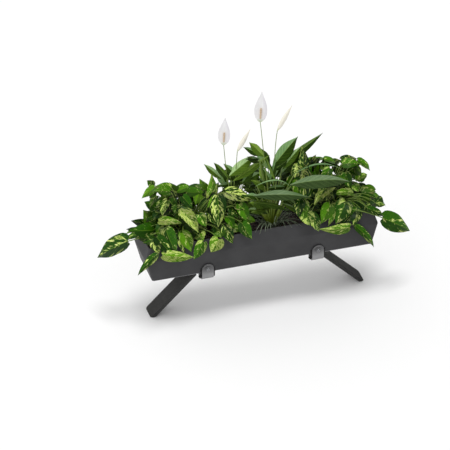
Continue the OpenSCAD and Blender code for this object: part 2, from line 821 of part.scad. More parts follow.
// Profiles are drawn in Y and Z for the rear clamp, and mirrored for the front one
module clamp_side(side, face, w) {
    scale_x(side)
        translate([arm_x - w / 2, 0, 0])
            rotate([90, 0, 90])
                linear_extrude(height = w)
                    if (face > 0) children();
                    else mirror([1, 0]) children();
}

module strap_profile() {
    polygon(concat(
        [[strap_seat_y + pad_t, strap_top_z], [strap_seat_y + pad_t + strap_t, strap_top_z]],
        clamp_bend(pad_t + strap_t),
        [[strap_run_y, arm_bottom_z - pad_t - strap_t], [strap_run_y, arm_bottom_z],
         [strap_foot_y, arm_bottom_z], [strap_foot_y, arm_bottom_z - pad_t]],
        [for (i = [9:-1:0]) clamp_bend(pad_t)[i]]));
}

module clamp_pad_profile() {
    gap = 0.05;
    top_z = strap_bolt_z + 4;
    polygon(concat(
        [[strap_seat_y + gap, top_z], [strap_seat_y + pad_t - gap, top_z]],
        clamp_bend(pad_t - gap),
        [[strap_foot_y + gap, arm_bottom_z - pad_t + gap], [strap_foot_y + gap, arm_bottom_z - gap]],
        [for (i = [9:-1:0]) clamp_bend(0)[i] + [gap, -gap]],
        [[pad_seat_y + gap, floor_h + bend_r]]));
}

// Cuts the strap's top to a half round
module round_top(face) {
    r = strap_w / 2;
    translate([arm_x, face * (strap_seat_y + 20), strap_bolt_z])
        difference() {
            translate([-r - over, -50, 0]) cube([2 * r + 2 * over, 100, r + 2 * over]);
            rotate([90, 0, 0]) cylinder(r = r, h = 102, center = true);
        }
}

module clamp(side, face) {
    color(steel_clamp)
    difference() {
        clamp_side(side, face, strap_w) strap_profile();
        scale_x(side) round_top(face);
        clamp_bolt_holes(floor_depth);
        for (sx = [-1, 1])
            translate([side * arm_x + sx * strap_screw_x, face * strap_screw_y, arm_bottom_z - 20])
                cylinder(r = screw_r + bolt_gap, h = 30);
    }
}

module clamp_pad(side, face) {
    color(rubber_black)
    difference() {
        clamp_side(side, face, strap_pad_w) clamp_pad_profile();
        clamp_bolt_holes(floor_depth);
    }
}

// Places children at the four clamp bolts, with +Z pointing out of the trough
module at_clamp_bolts(y) {
    for (sx = [-1, 1])
        for (sy = [-1, 1])
            translate([sx * arm_x, sy * y, strap_bolt_z])
                rotate([-sy * 90, 0, 0])
                    children();
}

module clamp_washers() {
    color(steel_clamp)
    at_clamp_bolts(washer_y)
        difference() {
            cylinder(r = washer_r, h = washer_t);
            translate([0, 0, -over]) cylinder(r = bolt_r + bolt_gap, h = washer_t + 2 * over);
        }
}

// Button head with a hexagon socket, and the shank through strap, pad and wall
module clamp_bolts() {
    socket_r = 3.4;
    socket_deep = 3.5;
    color(steel_zinc)
    at_clamp_bolts(head_y)
        difference() {
            union() {
                rotate_extrude()
                    polygon([[0, 0], [head_r, 0], [head_r, head_h * 0.35], [head_r * 0.86, head_h * 0.72],
                             [head_r * 0.6, head_h], [0, head_h]]);
                translate([0, 0, bolt_end_y - head_y])
                    cylinder(r = bolt_r, h = head_y - bolt_end_y + over);
            }
            translate([0, 0, head_h - socket_deep]) cylinder(r = socket_r, h = socket_deep + over, $fn = 6);
        }
}

module clamp_nuts() {
    color(steel_zinc)
    at_clamp_bolts(nut_y - nut_t)
        nut(bolt_r, nut_t);
}

module nut(r, t) {
    difference() {
        cylinder(r = 1.85 * r, h = t, $fn = 6);
        translate([0, 0, -over]) cylinder(r = r + 0.05, h = t + 2 * over);
    }
}

// Screws that hold each strap's foot to the underside of its arm
module strap_screws() {
    foot_z = arm_bottom_z - pad_t - strap_t;
    color(steel_zinc)
    for (side = [-1, 1])
        for (face = [-1, 1])
            for (sx = [-1, 1])
                translate([side * arm_x + sx * strap_screw_x, face * strap_screw_y, foot_z - screw_head_h]) {
                    cylinder(r = screw_head_r, h = screw_head_h);
                    cylinder(r = screw_r, h = screw_head_h + pad_t + strap_t + tube_t + 4);
                }
}

module flange_bolts() {
    color(steel_zinc)
    for (side = [-1, 1])
        scale_x(side)
            for (i = [-1.5:1:1.5])
                translate([leg_top_x, frame_y + i * flange_bolt_pitch, flange_bolt_z])
                    rotate([0, 90, 0]) {
                        cylinder(r = 1.7 * bolt_r, h = head_h, $fn = 6);
                        translate([0, 0, -2 * plate_t - tube_t - nut_t - 2])
                            cylinder(r = bolt_r, h = 2 * plate_t + tube_t + nut_t + 2 + over);
                    }
}

module flange_nuts() {
    color(steel_zinc)
    for (side = [-1, 1])
        scale_x(side)
            for (i = [-1.5:1:1.5])
                translate([end_plate_x - tube_t, frame_y + i * flange_bolt_pitch, flange_bolt_z])
                    rotate([0, -90, 0])
                        nut(bolt_r, nut_t);
}

// Plate behind the beam that a neighbouring rail bolts to
module rail_bracket(side) {
    y0 = frame_y + beam_w / 2;
    z0 = arm_bottom_z - bracket_h;
    color(steel_dark)
    translate([side * bracket_x, y0, z0])
        difference() {
            translate([-bracket_w / 2, 0, 0]) cube([bracket_w, bracket_t, bracket_h]);
            for (s = [-1, 1])
                translate([s * bracket_pitch / 2, -over, bracket_hole_z()])
                    rotate([-90, 0, 0])
                        cylinder(r = bracket_hole_r, h = bracket_t + 2 * over);
        }
}

// Height of a bracket's holes above its lower edge
function bracket_hole_z() = (bracket_h - beam_h) * 0.45;

trough_shell();
drain_spigots();
drain_plug(-1);  // drain_plug_left
drain_plug(1);  // drain_plug_right
liner_tray();
drainage_layer();
filter_fleece();
substrate();
root_ball(root_places[0]);  // root_ball_left
root_ball(root_places[1]);  // root_ball_right
root_ball(root_places[2]);  // root_ball_lily
root_ball(root_places[3]);  // root_ball_small_lily
pothos_left();
pothos_right();
peace_lily();
small_peace_lily();
spathes();
spadices();
grass_tuft();
arm(-1);  // arm_left
arm(1);  // arm_right
arm_pad(-1);  // arm_pad_left
arm_pad(1);  // arm_pad_right
arm_end_caps();
cross_beam();
flange_plate(-1, end_plate_x, end_plate_w);  // beam_end_plate_left
flange_plate(1, end_plate_x, end_plate_w);  // beam_end_plate_right
flange_plate(-1, head_plate_x, leg_w);  // leg_head_plate_left
flange_plate(1, head_plate_x, leg_w);  // leg_head_plate_right
leg(-1);  // leg_left
leg(1);  // leg_right
foot_plate(-1);  // foot_plate_left
foot_plate(1);  // foot_plate_right
clamp(-1, -1);  // front_clamp_left
clamp(1, -1);  // front_clamp_right
clamp(-1, 1);  // rear_clamp_left
clamp(1, 1);  // rear_clamp_right
clamp_pad(-1, -1);  // front_pad_left
clamp_pad(1, -1);  // front_pad_right
clamp_pad(-1, 1);  // rear_pad_left
clamp_pad(1, 1);  // rear_pad_right
clamp_washers();
clamp_bolts();
clamp_nuts();
strap_screws();
flange_bolts();
flange_nuts();
rail_bracket(-1);  // rail_bracket_left
rail_bracket(1);  // rail_bracket_right
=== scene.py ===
# Planter divider: a long folded steel trough on splayed legs, with variegated trailing plants
# at both ends and a white-flowered lily in the middle. Everything is in metres.
import json
import random
from math import copysign, cos, hypot, pi, radians, sin

import bpy
import numpy as np
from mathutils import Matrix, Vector


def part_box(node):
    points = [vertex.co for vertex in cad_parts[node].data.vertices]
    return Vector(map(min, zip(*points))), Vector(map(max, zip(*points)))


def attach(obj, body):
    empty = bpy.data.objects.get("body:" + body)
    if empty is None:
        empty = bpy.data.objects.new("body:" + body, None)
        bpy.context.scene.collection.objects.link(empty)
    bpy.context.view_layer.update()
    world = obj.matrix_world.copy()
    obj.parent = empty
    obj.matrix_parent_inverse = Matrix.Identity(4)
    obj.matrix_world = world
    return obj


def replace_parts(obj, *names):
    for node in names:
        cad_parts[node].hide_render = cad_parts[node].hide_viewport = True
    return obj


MM = 0.001
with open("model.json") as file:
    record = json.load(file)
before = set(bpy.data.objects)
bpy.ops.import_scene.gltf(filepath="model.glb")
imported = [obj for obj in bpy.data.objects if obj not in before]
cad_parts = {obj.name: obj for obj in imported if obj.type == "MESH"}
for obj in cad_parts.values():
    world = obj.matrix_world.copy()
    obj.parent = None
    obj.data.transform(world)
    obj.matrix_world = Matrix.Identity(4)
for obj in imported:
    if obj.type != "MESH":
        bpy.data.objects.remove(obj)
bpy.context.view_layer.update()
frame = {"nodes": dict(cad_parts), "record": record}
scene = bpy.context.scene


def vec(*numbers):
    return np.array(numbers)


# The camera, worked out from the photograph's edges: its angles, the point that it looks at,
# and how many of its pixels one metre covers
AZIMUTH = radians(-16.8)
ELEVATION = radians(34.5)
TARGET = (-0.1838, 0, 0.5253)
PIXELS_PER_M = 178.5
IMAGE_SIZE = 450
CAMERA_DISTANCE = 40
CLIP_END = 200
SENSOR = 36
# The side that people see
VIEW = vec(sin(AZIMUTH) * cos(ELEVATION), -cos(AZIMUTH) * cos(ELEVATION), sin(ELEVATION))
UP = vec(0, 0, 1)

# The light: the white world's strength on the left and on the right, how far to each side it
# goes on changing, and the sun
WORLD_LIGHT = (1, 0.36)
WORLD_TURN = 0.8
SUN_DIRECTION = (0, -0.12, 1)
SUN_POWER = 1.25
SUN_ANGLE = radians(22)
FLOOR_HALF = 30

# Where each sequence of random numbers starts, and a full turn for random directions
SEEDS = {"left": 11, "right": 23, "lily": 5, "small_lily": 9, "grass": 31, "soil": 4, "bits": 77,
         "flowers": 500, "spathes": 401, "blades": 700, "long_blades": 800}
FULL_TURN = 6.28

# Sizes of the trough and the liner, from the frame. The half sizes are those at the crease.
trough_lo, trough_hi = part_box("trough_shell")
liner_lo, liner_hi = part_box("liner_tray")
FLOOR_Z = trough_lo.z
RIM_Z = trough_hi.z
HALF_LEN = trough_hi.x
HALF_DEPTH = trough_hi.y
SOIL_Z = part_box("substrate")[1].z

# Sizes that the boxes don't give, as in the part's source
BAND_H = 133 * MM
END_FLARE = 35 * MM
SIDE_FLARE = 3 * MM
COLLAR_LEAN = 23 * MM
SHEET_T = 2.5 * MM
CORNER_R = 14 * MM
BEND_R = 4 * MM
HEM_H = 12 * MM
DRAIN_R = 12 * MM
BOLT_HOLE_R = 5.2 * MM
LINER_TAPER = 7 * MM
SOIL_CORNER_R = 11 * MM
CREASE_Z = FLOOR_Z + BAND_H
COLLAR_H = RIM_Z - CREASE_Z

# Fine forms of the trough: its fold and lip, points round a corner and a hole, and sharp edges
FOLD_R = 3 * MM
LIP_R = 1.2 * MM
CORNER_STEPS = 10
HOLE_SIDES = 48
TROUGH_SHARP = 35

# Sizes of the plants, as in the part's source. A spread is how far a stalk's foot stands from
# the root, as a share of its leaf's distance.
PLAN_HALF_DEPTH = 126 * MM
DEPTH_K = HALF_DEPTH / PLAN_HALF_DEPTH
RIM_CLEAR = 31 * MM
ARCH_RISE = 52 * MM
POTHOS_CROWN_R = 58 * MM
LILY_CROWN_R = 40 * MM
POTHOS_SPREAD = POTHOS_CROWN_R * 0.75 / (340 * MM)
LILY_SPREAD = LILY_CROWN_R * 0.65 / (180 * MM)
ROOTS = {}
for root_name in ("left", "right", "lily", "small_lily"):
    lo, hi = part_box("root_ball_" + root_name)
    ROOTS[root_name] = vec((lo.x + hi.x) / 2, (lo.y + hi.y) / 2, SOIL_Z)


# Small functions

def unit(v):
    return np.asarray(v, float) / max(np.linalg.norm(v), 1e-9)


def mix(a, b, t):
    return a + (b - a) * t


def bow_point(a, c, b, t):
    return (1 - t) ** 2 * a + 2 * t * (1 - t) * c + t * t * b


def bow_dir(a, c, b, t):
    return unit((1 - t) * (c - a) + t * (b - c))


def bow_line(a, c, b, count):
    return [bow_point(a, c, b, t) for t in np.linspace(0, 1, count)]


def bend(a, b, bow, n):
    """Control point of a line from a to b that bows towards n."""
    return mix(a, b, 0.5) + 2 * bow * n


def places_along(a, c, b, n, count):
    """Along a bow: the share, the point, and the directions on, to the side and towards n."""
    for t in np.linspace(0, 1, count):
        d = bow_dir(a, c, b, t)
        side = unit(np.cross(n, d))
        yield t, bow_point(a, c, b, t), d, side, np.cross(d, side)


def smooth_step(x):
    x = min(max(x, 0), 1)
    return x * x * (3 - 2 * x)


def own_number(seed):
    """From 0 to 1: what tells a leaf from its neighbours in the materials."""
    return seed % 1000 / 1000


def box_middle(node):
    lo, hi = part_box(node)
    return (lo + hi) / 2


# Mesh building

def new_object(name, data):
    made = bpy.data.objects.new(name, data)
    scene.collection.objects.link(made)
    return made


def new_mesh(name, points, faces):
    mesh = bpy.data.meshes.new(name)
    mesh.from_pydata(np.asarray(points, float).reshape(-1, 3).tolist(), [], faces)
    return mesh


class Builder:
    """Collects closed surfaces, with a few numbers at each point, and makes one object of them."""

    def __init__(self):
        self.points, self.faces, self.facts, self.count = [], [], {}, 0

    def add(self, points, faces, **facts):
        """A fact that some surfaces don't have is 0 there."""
        points = np.asarray(points, float).reshape(-1, 3)
        for name in set(facts) | set(self.facts):
            column = self.facts.setdefault(name, [np.zeros(self.count)] if self.count else [])
            values = np.asarray(facts.get(name, 0), float).ravel()
            column.append(np.broadcast_to(values, (len(points),)))
        self.points.append(points)
        self.faces += [tuple(self.count + i for i in f) for f in faces]
        self.count += len(points)

    def plate(self, skins, faces, rows, across, seed, **facts):
        """Thin plate of two skins with the facts of a leaf; across is leaf_u along each row."""
        size = rows * len(across)
        along = np.repeat(np.linspace(0, 1, rows), len(across))
        self.add(skins, faces, leaf_u=np.tile(across, 2 * rows), leaf_v=np.tile(along, 2),
                 seed=own_number(seed), under=np.repeat([0, 1], size), **facts)

    def make(self, name, body, slot, material=None, sharp=40):
        """The slot's own material is used where no other is given."""
        mesh = new_mesh(name, np.vstack(self.points), self.faces)
        for key, columns in self.facts.items():
            attribute = mesh.attributes.new(key, "FLOAT", "POINT")
            attribute.data.foreach_set("value", np.concatenate(columns).astype(np.float32))
        mesh.polygons.foreach_set("use_smooth", [True] * len(mesh.polygons))
        mesh.set_sharp_from_angle(angle=radians(sharp))
        mesh.materials.append(material or materials[slot])
        mesh.update()
        piece = new_object(name, mesh)
        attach(piece, body)
        return piece


def grid_faces(n, m, closed=False):
    """Faces between n rows of m points; closed joins each row's ends."""
    last = m if closed else m - 1
    return [(i * m + j, i * m + (j + 1) % m, (i + 1) * m + (j + 1) % m, (i + 1) * m + j)
            for i in range(n - 1) for j in range(last)]


def tube_faces(n, m):
    """Faces of a tube of n rings of m points, with both ends shut."""
    return [*grid_faces(n, m, closed=True), tuple(reversed(range(m))), tuple(range((n - 1) * m, n * m))]


def plate_faces(n, m):
    """Faces of a closed thin plate: a top grid, a bottom grid after it, and the rim between."""
    top = grid_faces(n, m)
    size = n * m
    bottom = [tuple(size + i for i in reversed(f)) for f in top]
    rim = [*(i * m for i in range(n)), *((n - 1) * m + j for j in range(1, m)),
           *(i * m + m - 1 for i in range(n - 2, -1, -1)), *range(m - 2, 0, -1)]
    side = [(p, q, size + q, size + p) for p, q in zip(rim, rim[1:] + rim[:1])]
    return top + bottom + side


def circle(centre, e, f, r, sides):
    """Points of a circle of radius r, or of an ellipse where e and f aren't the same length."""
    return [centre + r * (e * cos(v) + f * sin(v)) for v in np.linspace(0, 2 * pi, sides, endpoint=False)]


def tube(builder, line, radii, sides, **facts):
    """Closed tube along a line of points that lie in one plane."""
    line = np.asarray(line, float)
    flat = np.cross(line[len(line) // 2] - line[0], line[-1] - line[0])
    if np.linalg.norm(flat) < 1e-10:
        flat = np.cross([0, 1, 0.01], line[-1] - line[0])
    e = unit(flat)
    rings = [circle(point, e, unit(np.cross(d, e)), r, sides)
             for point, d, r in zip(line, np.gradient(line, axis=0), radii)]
    along = np.repeat(np.linspace(0, 1, len(rings)), sides)
    builder.add(rings, tube_faces(len(rings), sides), leaf_v=along, **facts)


def stalk(builder, line, radii, sides, seed):
    """Tube that goes evenly from one radius to the other, both in millimetres."""
    tube(builder, line, np.linspace(*radii, len(line)) * MM, sides, seed=own_number(seed))


# The leaves

# The side that the leaves' halves painted lighter turn to: painted light
LIGHT_SIDE = vec(-0.45, 0, 1)
# Outlines: places along a leaf, and its share of the full width there
HEART = ([0, 0.04, 0.1, 0.18, 0.3, 0.42, 0.55, 0.68, 0.8, 0.9, 0.96, 1],
         [0.4, 0.72, 0.9, 0.99, 1, 0.94, 0.8, 0.6, 0.38, 0.19, 0.08, 0.01])
LANCE = ([0, 0.05, 0.14, 0.26, 0.38, 0.5, 0.62, 0.74, 0.85, 0.93, 1],
         [0.1, 0.24, 0.55, 0.85, 0.99, 1, 0.9, 0.68, 0.38, 0.15, 0.01])
BLADE = ([0, 0.35, 0.7, 1], [1, 1, 0.75, 0.08])
SPATHE = ([0, 0.05, 0.15, 0.3, 0.45, 0.6, 0.75, 0.88, 1],
          [0.16, 0.42, 0.78, 0.98, 1, 0.86, 0.55, 0.24, 0.01])
# What all leaves of a kind have in common, for the function leaf
POTHOS_LEAF = dict(outline=HEART, rows=19, cols=11, thick=0.9 * MM, heart=0.14, wave=0.035,
                   ribs=0.04, rib_count=6)
LILY_LEAF = dict(outline=LANCE, rows=27, cols=11, thick=0.9 * MM, wave=0.06, cup=-0.14, ribs=0.06,
                 rib_count=9)
SPATHE_LEAF = dict(outline=SPATHE, rows=30, cols=15, thick=MM, fold=0.22, wave=0.006,
                   cup=0.22, curl=0.02)
BLADE_LEAF = dict(outline=BLADE, rows=18, cols=5, thick=0.8 * MM, fold=0.35)
# Radius of each kind of stalk at its foot and at its top, in millimetres
POTHOS_STALK = (2.6, 1.5)
POTHOS_SHOOT = (4.6, 2.8)
LILY_STALK = (6, 2)
FLOWER_STALK = (2.6, 1.9)


def leaf(builder, a, b, w, n, bow, seed, fold, outline, rows, cols, thick,
         heart=0, wave=0, cup=0, ribs=0, rib_count=8, curl=0, **facts):
    """Thin closed leaf from its base a to its tip b. Its face looks towards n, the midrib bows
    that way, both halves fold up from the midrib, and heart draws the two lobes back. The
    number leaf_u goes from -1 to 1 across it, and is above 0 on the half nearer to the light."""
    c = bend(a, b, bow, unit(n))
    phase = random.Random(seed).uniform(0, FULL_TURN)
    s = np.linspace(-1, 1, cols)
    edge = np.abs(s)
    half = thick / 2 * (0.35 + 0.65 * (1 - edge ** 2))
    top, low = [], []
    for t, p, d, side, up in places_along(a, c, b, n, rows):
        hw = w / 2 * np.interp(t, *outline)
        lift = fold * edge * hw + cup * hw * edge ** 2
        lift += wave * w * edge ** 2 * np.sin(9.5 * t + phase + 1.3 * np.sign(s)) * sin(pi * t)
        lift += ribs * hw * edge * (1 - edge) * np.cos(2 * pi * rib_count * (t - 0.3 * edge))
        lift -= curl * w * smooth_step((t - 0.6) / 0.4) ** 2
        back = heart * w * edge ** 1.6 * max(0, 1 - t / 0.22)
        q = p + np.outer(s * hw, side) + np.outer(lift, up) - np.outer(back, d)
        top.append(q + np.outer(half, up))
        low.append(q - np.outer(half, up))
    # The half nearer to the light, where leaf_u is above 0, is painted lighter in the materials: painted
    # light
    lit = 1 if np.cross(n, b - a) @ LIGHT_SIDE > 0 else -1
    faces = [tuple(reversed(f)) for f in plate_faces(rows, cols)]
    builder.plate([top, low], faces, rows, s * lit, seed, **facts)


# Leaves of the pothos in millimetres: three numbers for the base, three for the tip, and the
# width. X is measured from the root towards the middle of the trough, Y from the middle line,
# and Z from the rim.
POTHOS_PLAN = [
    (-170, -10, 58, -330, -30, 98, 80), (-190, 50, 30, -320, 60, 15, 45),
    (-190, -142, -12, -310, -152, -130, 45), (-160, -140, -28, 20, -152, -70, 60),
    (-120, -80, 98, -80, -150, -20, 90), (-180, -95, 68, -100, -142, -40, 65),
    (-190, -95, 45, -180, -142, -15, 60), (-20, -20, 178, 60, -110, 58, 80),
    (-140, 0, 108, -20, -60, 108, 50), (-50, 60, 278, -140, 80, 288, 45), (-70, 20, 278, -170, 10, 308, 55),
    (-150, 40, 308, -230, 30, 258, 45), (50, 60, 258, -20, 80, 218, 45), (150, 60, 208, 50, 100, 238, 65),
    (170, 20, 188, 180, 40, 338, 60), (180, -10, 208, 130, -40, 168, 35), (200, -10, 218, 180, -90, 58, 85),
    (250, 0, 228, 400, -40, 168, 70), (320, -40, 158, 360, -80, 48, 60), (320, -90, 60, 360, -142, -22, 65),
    (220, -85, 55, 250, -142, -32, 60), (170, -130, 8, 120, -145, -62, 75),
    (80, -130, 8, 20, -145, -92, 60), (-30, -95, 68, 10, -138, -42, 70),
    (-60, -120, 45, -30, -136, -52, 30), (-150, 50, 168, -200, 80, 198, 50),
    (-132, 33, 138, -170, 10, 118, 50), (-90, 0, 238, -130, -30, 158, 50),
    (-40, -20, 208, -60, -60, 178, 50), (3, 12, 239, 50, -20, 168, 50), (110, 50, 228, 80, 20, 158, 55),
    (80, -50, 138, 110, -90, 78, 55), (140, -40, 128, 170, -80, 68, 45), (270, -20, 138, 310, -60, 78, 60),
    (240, -60, 98, 270, -90, 38, 55), (240, 30, 188, 290, 10, 118, 40), (-90, 60, 188, -140, 90, 138, 40),
    (292, -40, 147, 382, -30, 107, 50), (-180, 20, 98, -160, 0, 28, 45), (-100, 80, 110, -120, 150, 30, 75),
    (-10, 90, 120, 20, 160, 20, 70), (90, 85, 100, 120, 155, 0, 75), (190, 80, 110, 180, 160, 30, 70),
    (270, 75, 70, 320, 150, 10, 65)]
LEFT_END_PLAN = [
    (-237, -10, 51, -342, 10, 5, 42), (-324, -20, 21, -469, 120, -155, 110)]
RIGHT_END_PLAN = [
    (169, -40, 322, 169, -40, 451, 58), (-181, -140, 49, -280, -140, -25, 42),
    (-246, -100, 42, -298, -100, 25, 30), (-269, -138, -33, -451, -95, -186, 102)]
# How much of each of the plan's first leaves is cream
CREAM = [0.25, 0.2, 0.5, 0.8, 0.45, 0.35, 0.7, 1, 0.75, 0.5, 0.45, 0.35, 0.2, 0.05, 0.75, 0.3,
         0.6, 0.85, 0.5, 0.4, 0.6, 0.9, 0.55, 0.4, 0.7]
# Leaves behind the plan's: how far towards the plant's middle, and how much painted shade darkens them
POTHOS_LAYERS = [(0.06, 0.62), (0.16, 0.42), (0.28, 0.26)]
# Two bends of the long shoot that carries each plant's last leaf
LEFT_SHOOT = [(-120, -62, 78), (-234, -42, 46)]
RIGHT_SHOOT = [(-93, -120, 50), (-193, -142, 22)]
RIGHT_SHIFT = 25 * MM
# The right plant stops short of the lily: past this X its leaves stand closer together
RIGHT_EDGE = -150
SQUEEZE = 0.25


def plan_rows(plan):
    """Base, tip and what else each row says."""
    return [(row[:3], row[3:6], *row[6:]) for row in plan]


def mirror_x(p):
    return (-p[0], p[1], p[2])


def plan_right(p):
    """Places on the right are the left ones mirrored, and leant over to the front."""
    x, y, z = p
    right = -x + 0.6 * y
    near = min(0, right - RIGHT_EDGE)
    return (right - (1 - SQUEEZE) * near, y, z + 0.4 * x + 20 - 0.12 * y + 0.4 * (1 - SQUEEZE) * near)


def seat(root_x, p):
    """Whatever lies over the trough stays above its rim."""
    x, y, z = root_x + p[0] * MM, p[1] * MM * DEPTH_K, p[2] * MM
    inside = abs(x) < HALF_LEN and abs(y) < HALF_DEPTH + 4 * MM
    return vec(x, y, RIM_Z + (max(z, RIM_CLEAR) if inside else z))


def face_dir(root_x, m):
    """A leaf looks up and outwards, and mostly to the side that people see."""
    return unit(0.45 * unit([(m[0] - root_x) * 1.2, m[1] * 6 - 0.15, 0.8]) + 0.75 * VIEW)


def stalk_root(p, b, spread):
    """A stalk's foot, just above the soil and nearer to the root than its leaf."""
    return vec(p[0] + spread * (b[0] - p[0]), p[1] + 2 * spread * (b[1] - p[1]), SOIL_Z + 3.6 * MM)


def stalk_arch(a, b):
    """High enough to pass over the rim, and flatter where the leaf stands well above it."""
    v = vec(b[0] - a[0], b[1] - a[1])
    rise = ARCH_RISE + 0.3 * np.linalg.norm(v)
    high = smooth_step((b[2] - RIM_Z - 0.08) / 0.08)
    return vec(a[0] + 0.5 * v[0], a[1] + 0.3 * v[1], max(b[2], RIM_Z) + rise * (1 - 0.9 * high))


def inner_leaf(rng, side, a, b, w, middle, share):
    """A leaf behind a plan leaf, nearer to the plant's middle and turned about its own base. It
    stays above the rim and in the plant's own room, which is narrower higher up."""
    jitter = vec(rng.uniform(-0.04, 0.04), 0, rng.uniform(-0.035, 0.035))
    base = mix(a, middle, share) + jitter - VIEW * rng.uniform(0.02, 0.08)
    turn = rng.uniform(-1, 1)
    v = (b - a) * rng.uniform(0.7, 1)
    v = v * cos(turn) + np.cross(VIEW, v) * sin(turn)
    v *= min(1, 0.11 / np.linalg.norm(v))
    base[2] = max(base[2], RIM_Z + RIM_CLEAR)
    tip = base + v
    tip[2] = max(tip[2], RIM_Z + 0.4 * RIM_CLEAR)
    for p in (base, tip):
        p[1] = min(max(p[1], -0.14), 0.16)
        high = smooth_step((p[2] - RIM_Z - 0.04) / 0.14)
        low_x, high_x = (-0.74 + 0.13 * high, -0.03) if side == "left" else (0.2, 0.73 - 0.12 * high)
        p[0] = min(max(p[0], low_x), high_x)
    return base, tip, max(w, 46 * MM) * rng.uniform(0.85, 1.1)


def pothos(side, plan, shoot):
    """One trailing plant. Behind its own leaves lie more, nearer to its middle and painted
    darker: painted shade from the leaves in front.
    """
    root = ROOTS[side]
    centre = root[0] + (RIGHT_SHIFT if side == "right" else 0)
    rng = random.Random(SEEDS[side])
    leaves, stems = Builder(), Builder()
    places = [(seat(centre, a), seat(centre, b), w * MM, rng.uniform(0.85, 1)) for a, b, w in plan]
    last = len(places) - 1
    for share, shade in POTHOS_LAYERS:
        for a, b, w, _ in places[:last]:
            middle = vec(mix(centre, a[0], 0.45), root[1], mix(RIM_Z + 0.06, a[2], 0.5))
            base, tip, wide = inner_leaf(rng, side, a, b, w, middle, share * rng.uniform(0.5, 1.5))
            # Painted shade: leaves deeper in the plant get a darker colour
            places.append((base, tip, wide, shade * rng.uniform(0.75, 1.25)))
    for k, (a, b, w, shade) in enumerate(places):
        seed = rng.randrange(1, 10 ** 6)
        n = face_dir(centre, mix(a, b, 0.5))
        d = unit(b - a)
        n = unit(n - d * (n @ d))
        roll = radians(rng.uniform(-26, 26))
        n = n * cos(roll) + np.cross(d, n) * sin(roll)
        bow = (0.04 if k == last else 0.1) * np.linalg.norm(b - a)
        fold, cup = rng.uniform(0.06, 0.26), rng.uniform(-0.14, 0.06)
        curl, cream = rng.uniform(0, 0.07), rng.uniform(0.1, 0.75)
        if k < len(CREAM):
            cream = CREAM[k]
        leaf(leaves, a, b, w * 1.1, n, bow, seed, fold, cup=cup, curl=curl, shade=shade, cream=cream,
             **POTHOS_LEAF)
        start = stalk_root(root, a, POTHOS_SPREAD)
        end = bow_point(a, bend(a, b, bow, n), b, 0.02)
        if k == last:
            first, second = [seat(centre, p) for p in shoot]
            line = bow_line(start, stalk_arch(start, first), first, 12)[:-1]
            stalk(stems, line + bow_line(first, second, end, 12), POTHOS_SHOOT, 8, seed)
        else:
            line = bow_line(start, stalk_arch(start, a), end, 14)
            stalk(stems, line, POTHOS_STALK, 8, seed)
    name = "pothos_" + side
    leaf_piece = leaves.make(name + "_leaves", "liner", "pothos_leaf")
    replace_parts(leaf_piece, name)
    stems.make(name + "_stems", "liner", "pothos_leaf", pothos_stem)


# Leaves of the lilies in millimetres: base, tip, width and bow. X is measured from the middle
# of the trough.
LILY_PLAN = [
    (100, 20, 328, 260, 60, 478, 70, 12), (100, 0, 318, 400, 40, 488, 45, -14),
    (150, 10, 308, 270, 30, 428, 45, 8), (40, -10, 428, -40, 10, 528, 45, 6),
    (40, 30, 408, -60, 60, 468, 35, 6), (172, -80, 257, 522, -100, 227, 74, 45),
    (-40, -65, 214, 282, -118, 176, 55, 35), (-50, -60, 168, 40, -90, 138, 45, 12),
    (196, -60, 307, 481, -60, 285, 14, 60), (-26, -60, 272, 196, -60, 205, 12, 58),
    (60, 10, 208, 30, 20, 368, 40, 5), (110, -20, 248, 50, -10, 428, 20, 5),
    (130, 30, 248, 240, 50, 268, 40, 8), (0, 30, 208, -70, 40, 238, 35, 6),
    (60, -10, 208, 170, -10, 198, 35, 10), (160, -70, 208, 200, -110, 138, 30, 6),
    (190, -60, 168, 250, -90, 98, 30, 6), (90, 60, 290, 60, 170, 380, 60, 12),
    (120, 50, 230, 230, 165, 290, 55, 14), (60, 60, 250, -30, 175, 260, 55, 14),
    (56, -40, 125, -64, -70, 175, 40, 8), (38, -60, 101, -63, -85, 117, 30, 8),
    (24, -30, 165, -85, -60, 227, 36, 8), (117, -30, 174, 292, -90, 117, 48, 14),
    (132, -60, 130, 243, -100, 66, 34, 10), (88, 10, 181, -26, 20, 265, 44, 8),
    (103, 0, 211, 33, 0, 348, 36, 6), (156, 20, 188, 264, 30, 228, 40, 8),
    (150, 40, 244, 285, 60, 381, 60, 10), (188, 50, 264, 379, 60, 294, 44, 10),
    (203, 20, 151, 407, 0, 131, 40, 16), (77, -10, 250, 109, -20, 400, 30, 6),
    (80, 80, 120, -41, 90, 152, 52, 8), (89, 70, 79, -33, 80, 104, 46, 8),
    (58, 80, 173, -41, 90, 201, 46, 8), (21, 40, 18, -52, 50, 148, 60, 8), (57, 60, 93, -78, 60, 65, 58, 8),
    (77, 30, 20, -49, 20, 72, 46, 8), (105, 60, 125, 262, 70, 214, 54, 8),
    (125, 50, 92, 258, 60, 148, 44, 8)]
SMALL_LILY_PLAN = [
    (-150, 30, 308, 10, 60, 398, 60, 10), (-130, 20, 278, 90, 40, 398, 40, -10),
    (-80, 30, 238, 10, 50, 338, 40, 6), (-160, 20, 298, -240, 30, 418, 35, 6),
    (-190, 40, 288, -290, 60, 398, 35, 6), (-160, 50, 268, -100, 70, 308, 35, 5),
    (-150, 60, 210, -190, 165, 300, 50, 12), (-110, 60, 200, -60, 170, 230, 50, 12),
    (-85, 40, 265, -173, 60, 378, 46, 8), (-93, 50, 272, -183, 60, 338, 36, 6),
    (-60, 40, 245, 48, 50, 285, 44, 8), (-134, 30, 252, -216, 30, 255, 30, 6)]
# Leaves narrower than the first width are pale straps, painted lighter, those at least as wide as the
# # second have a smaller one beside them, and drooping ones wider than the third are bluish
STRAP_WIDTH = 20
PAIR_WIDTH = 35
BLUE_WIDTH = 50
# A leaf whose tip stands less than this above its base droops
DROOP_RISE = 35 * MM
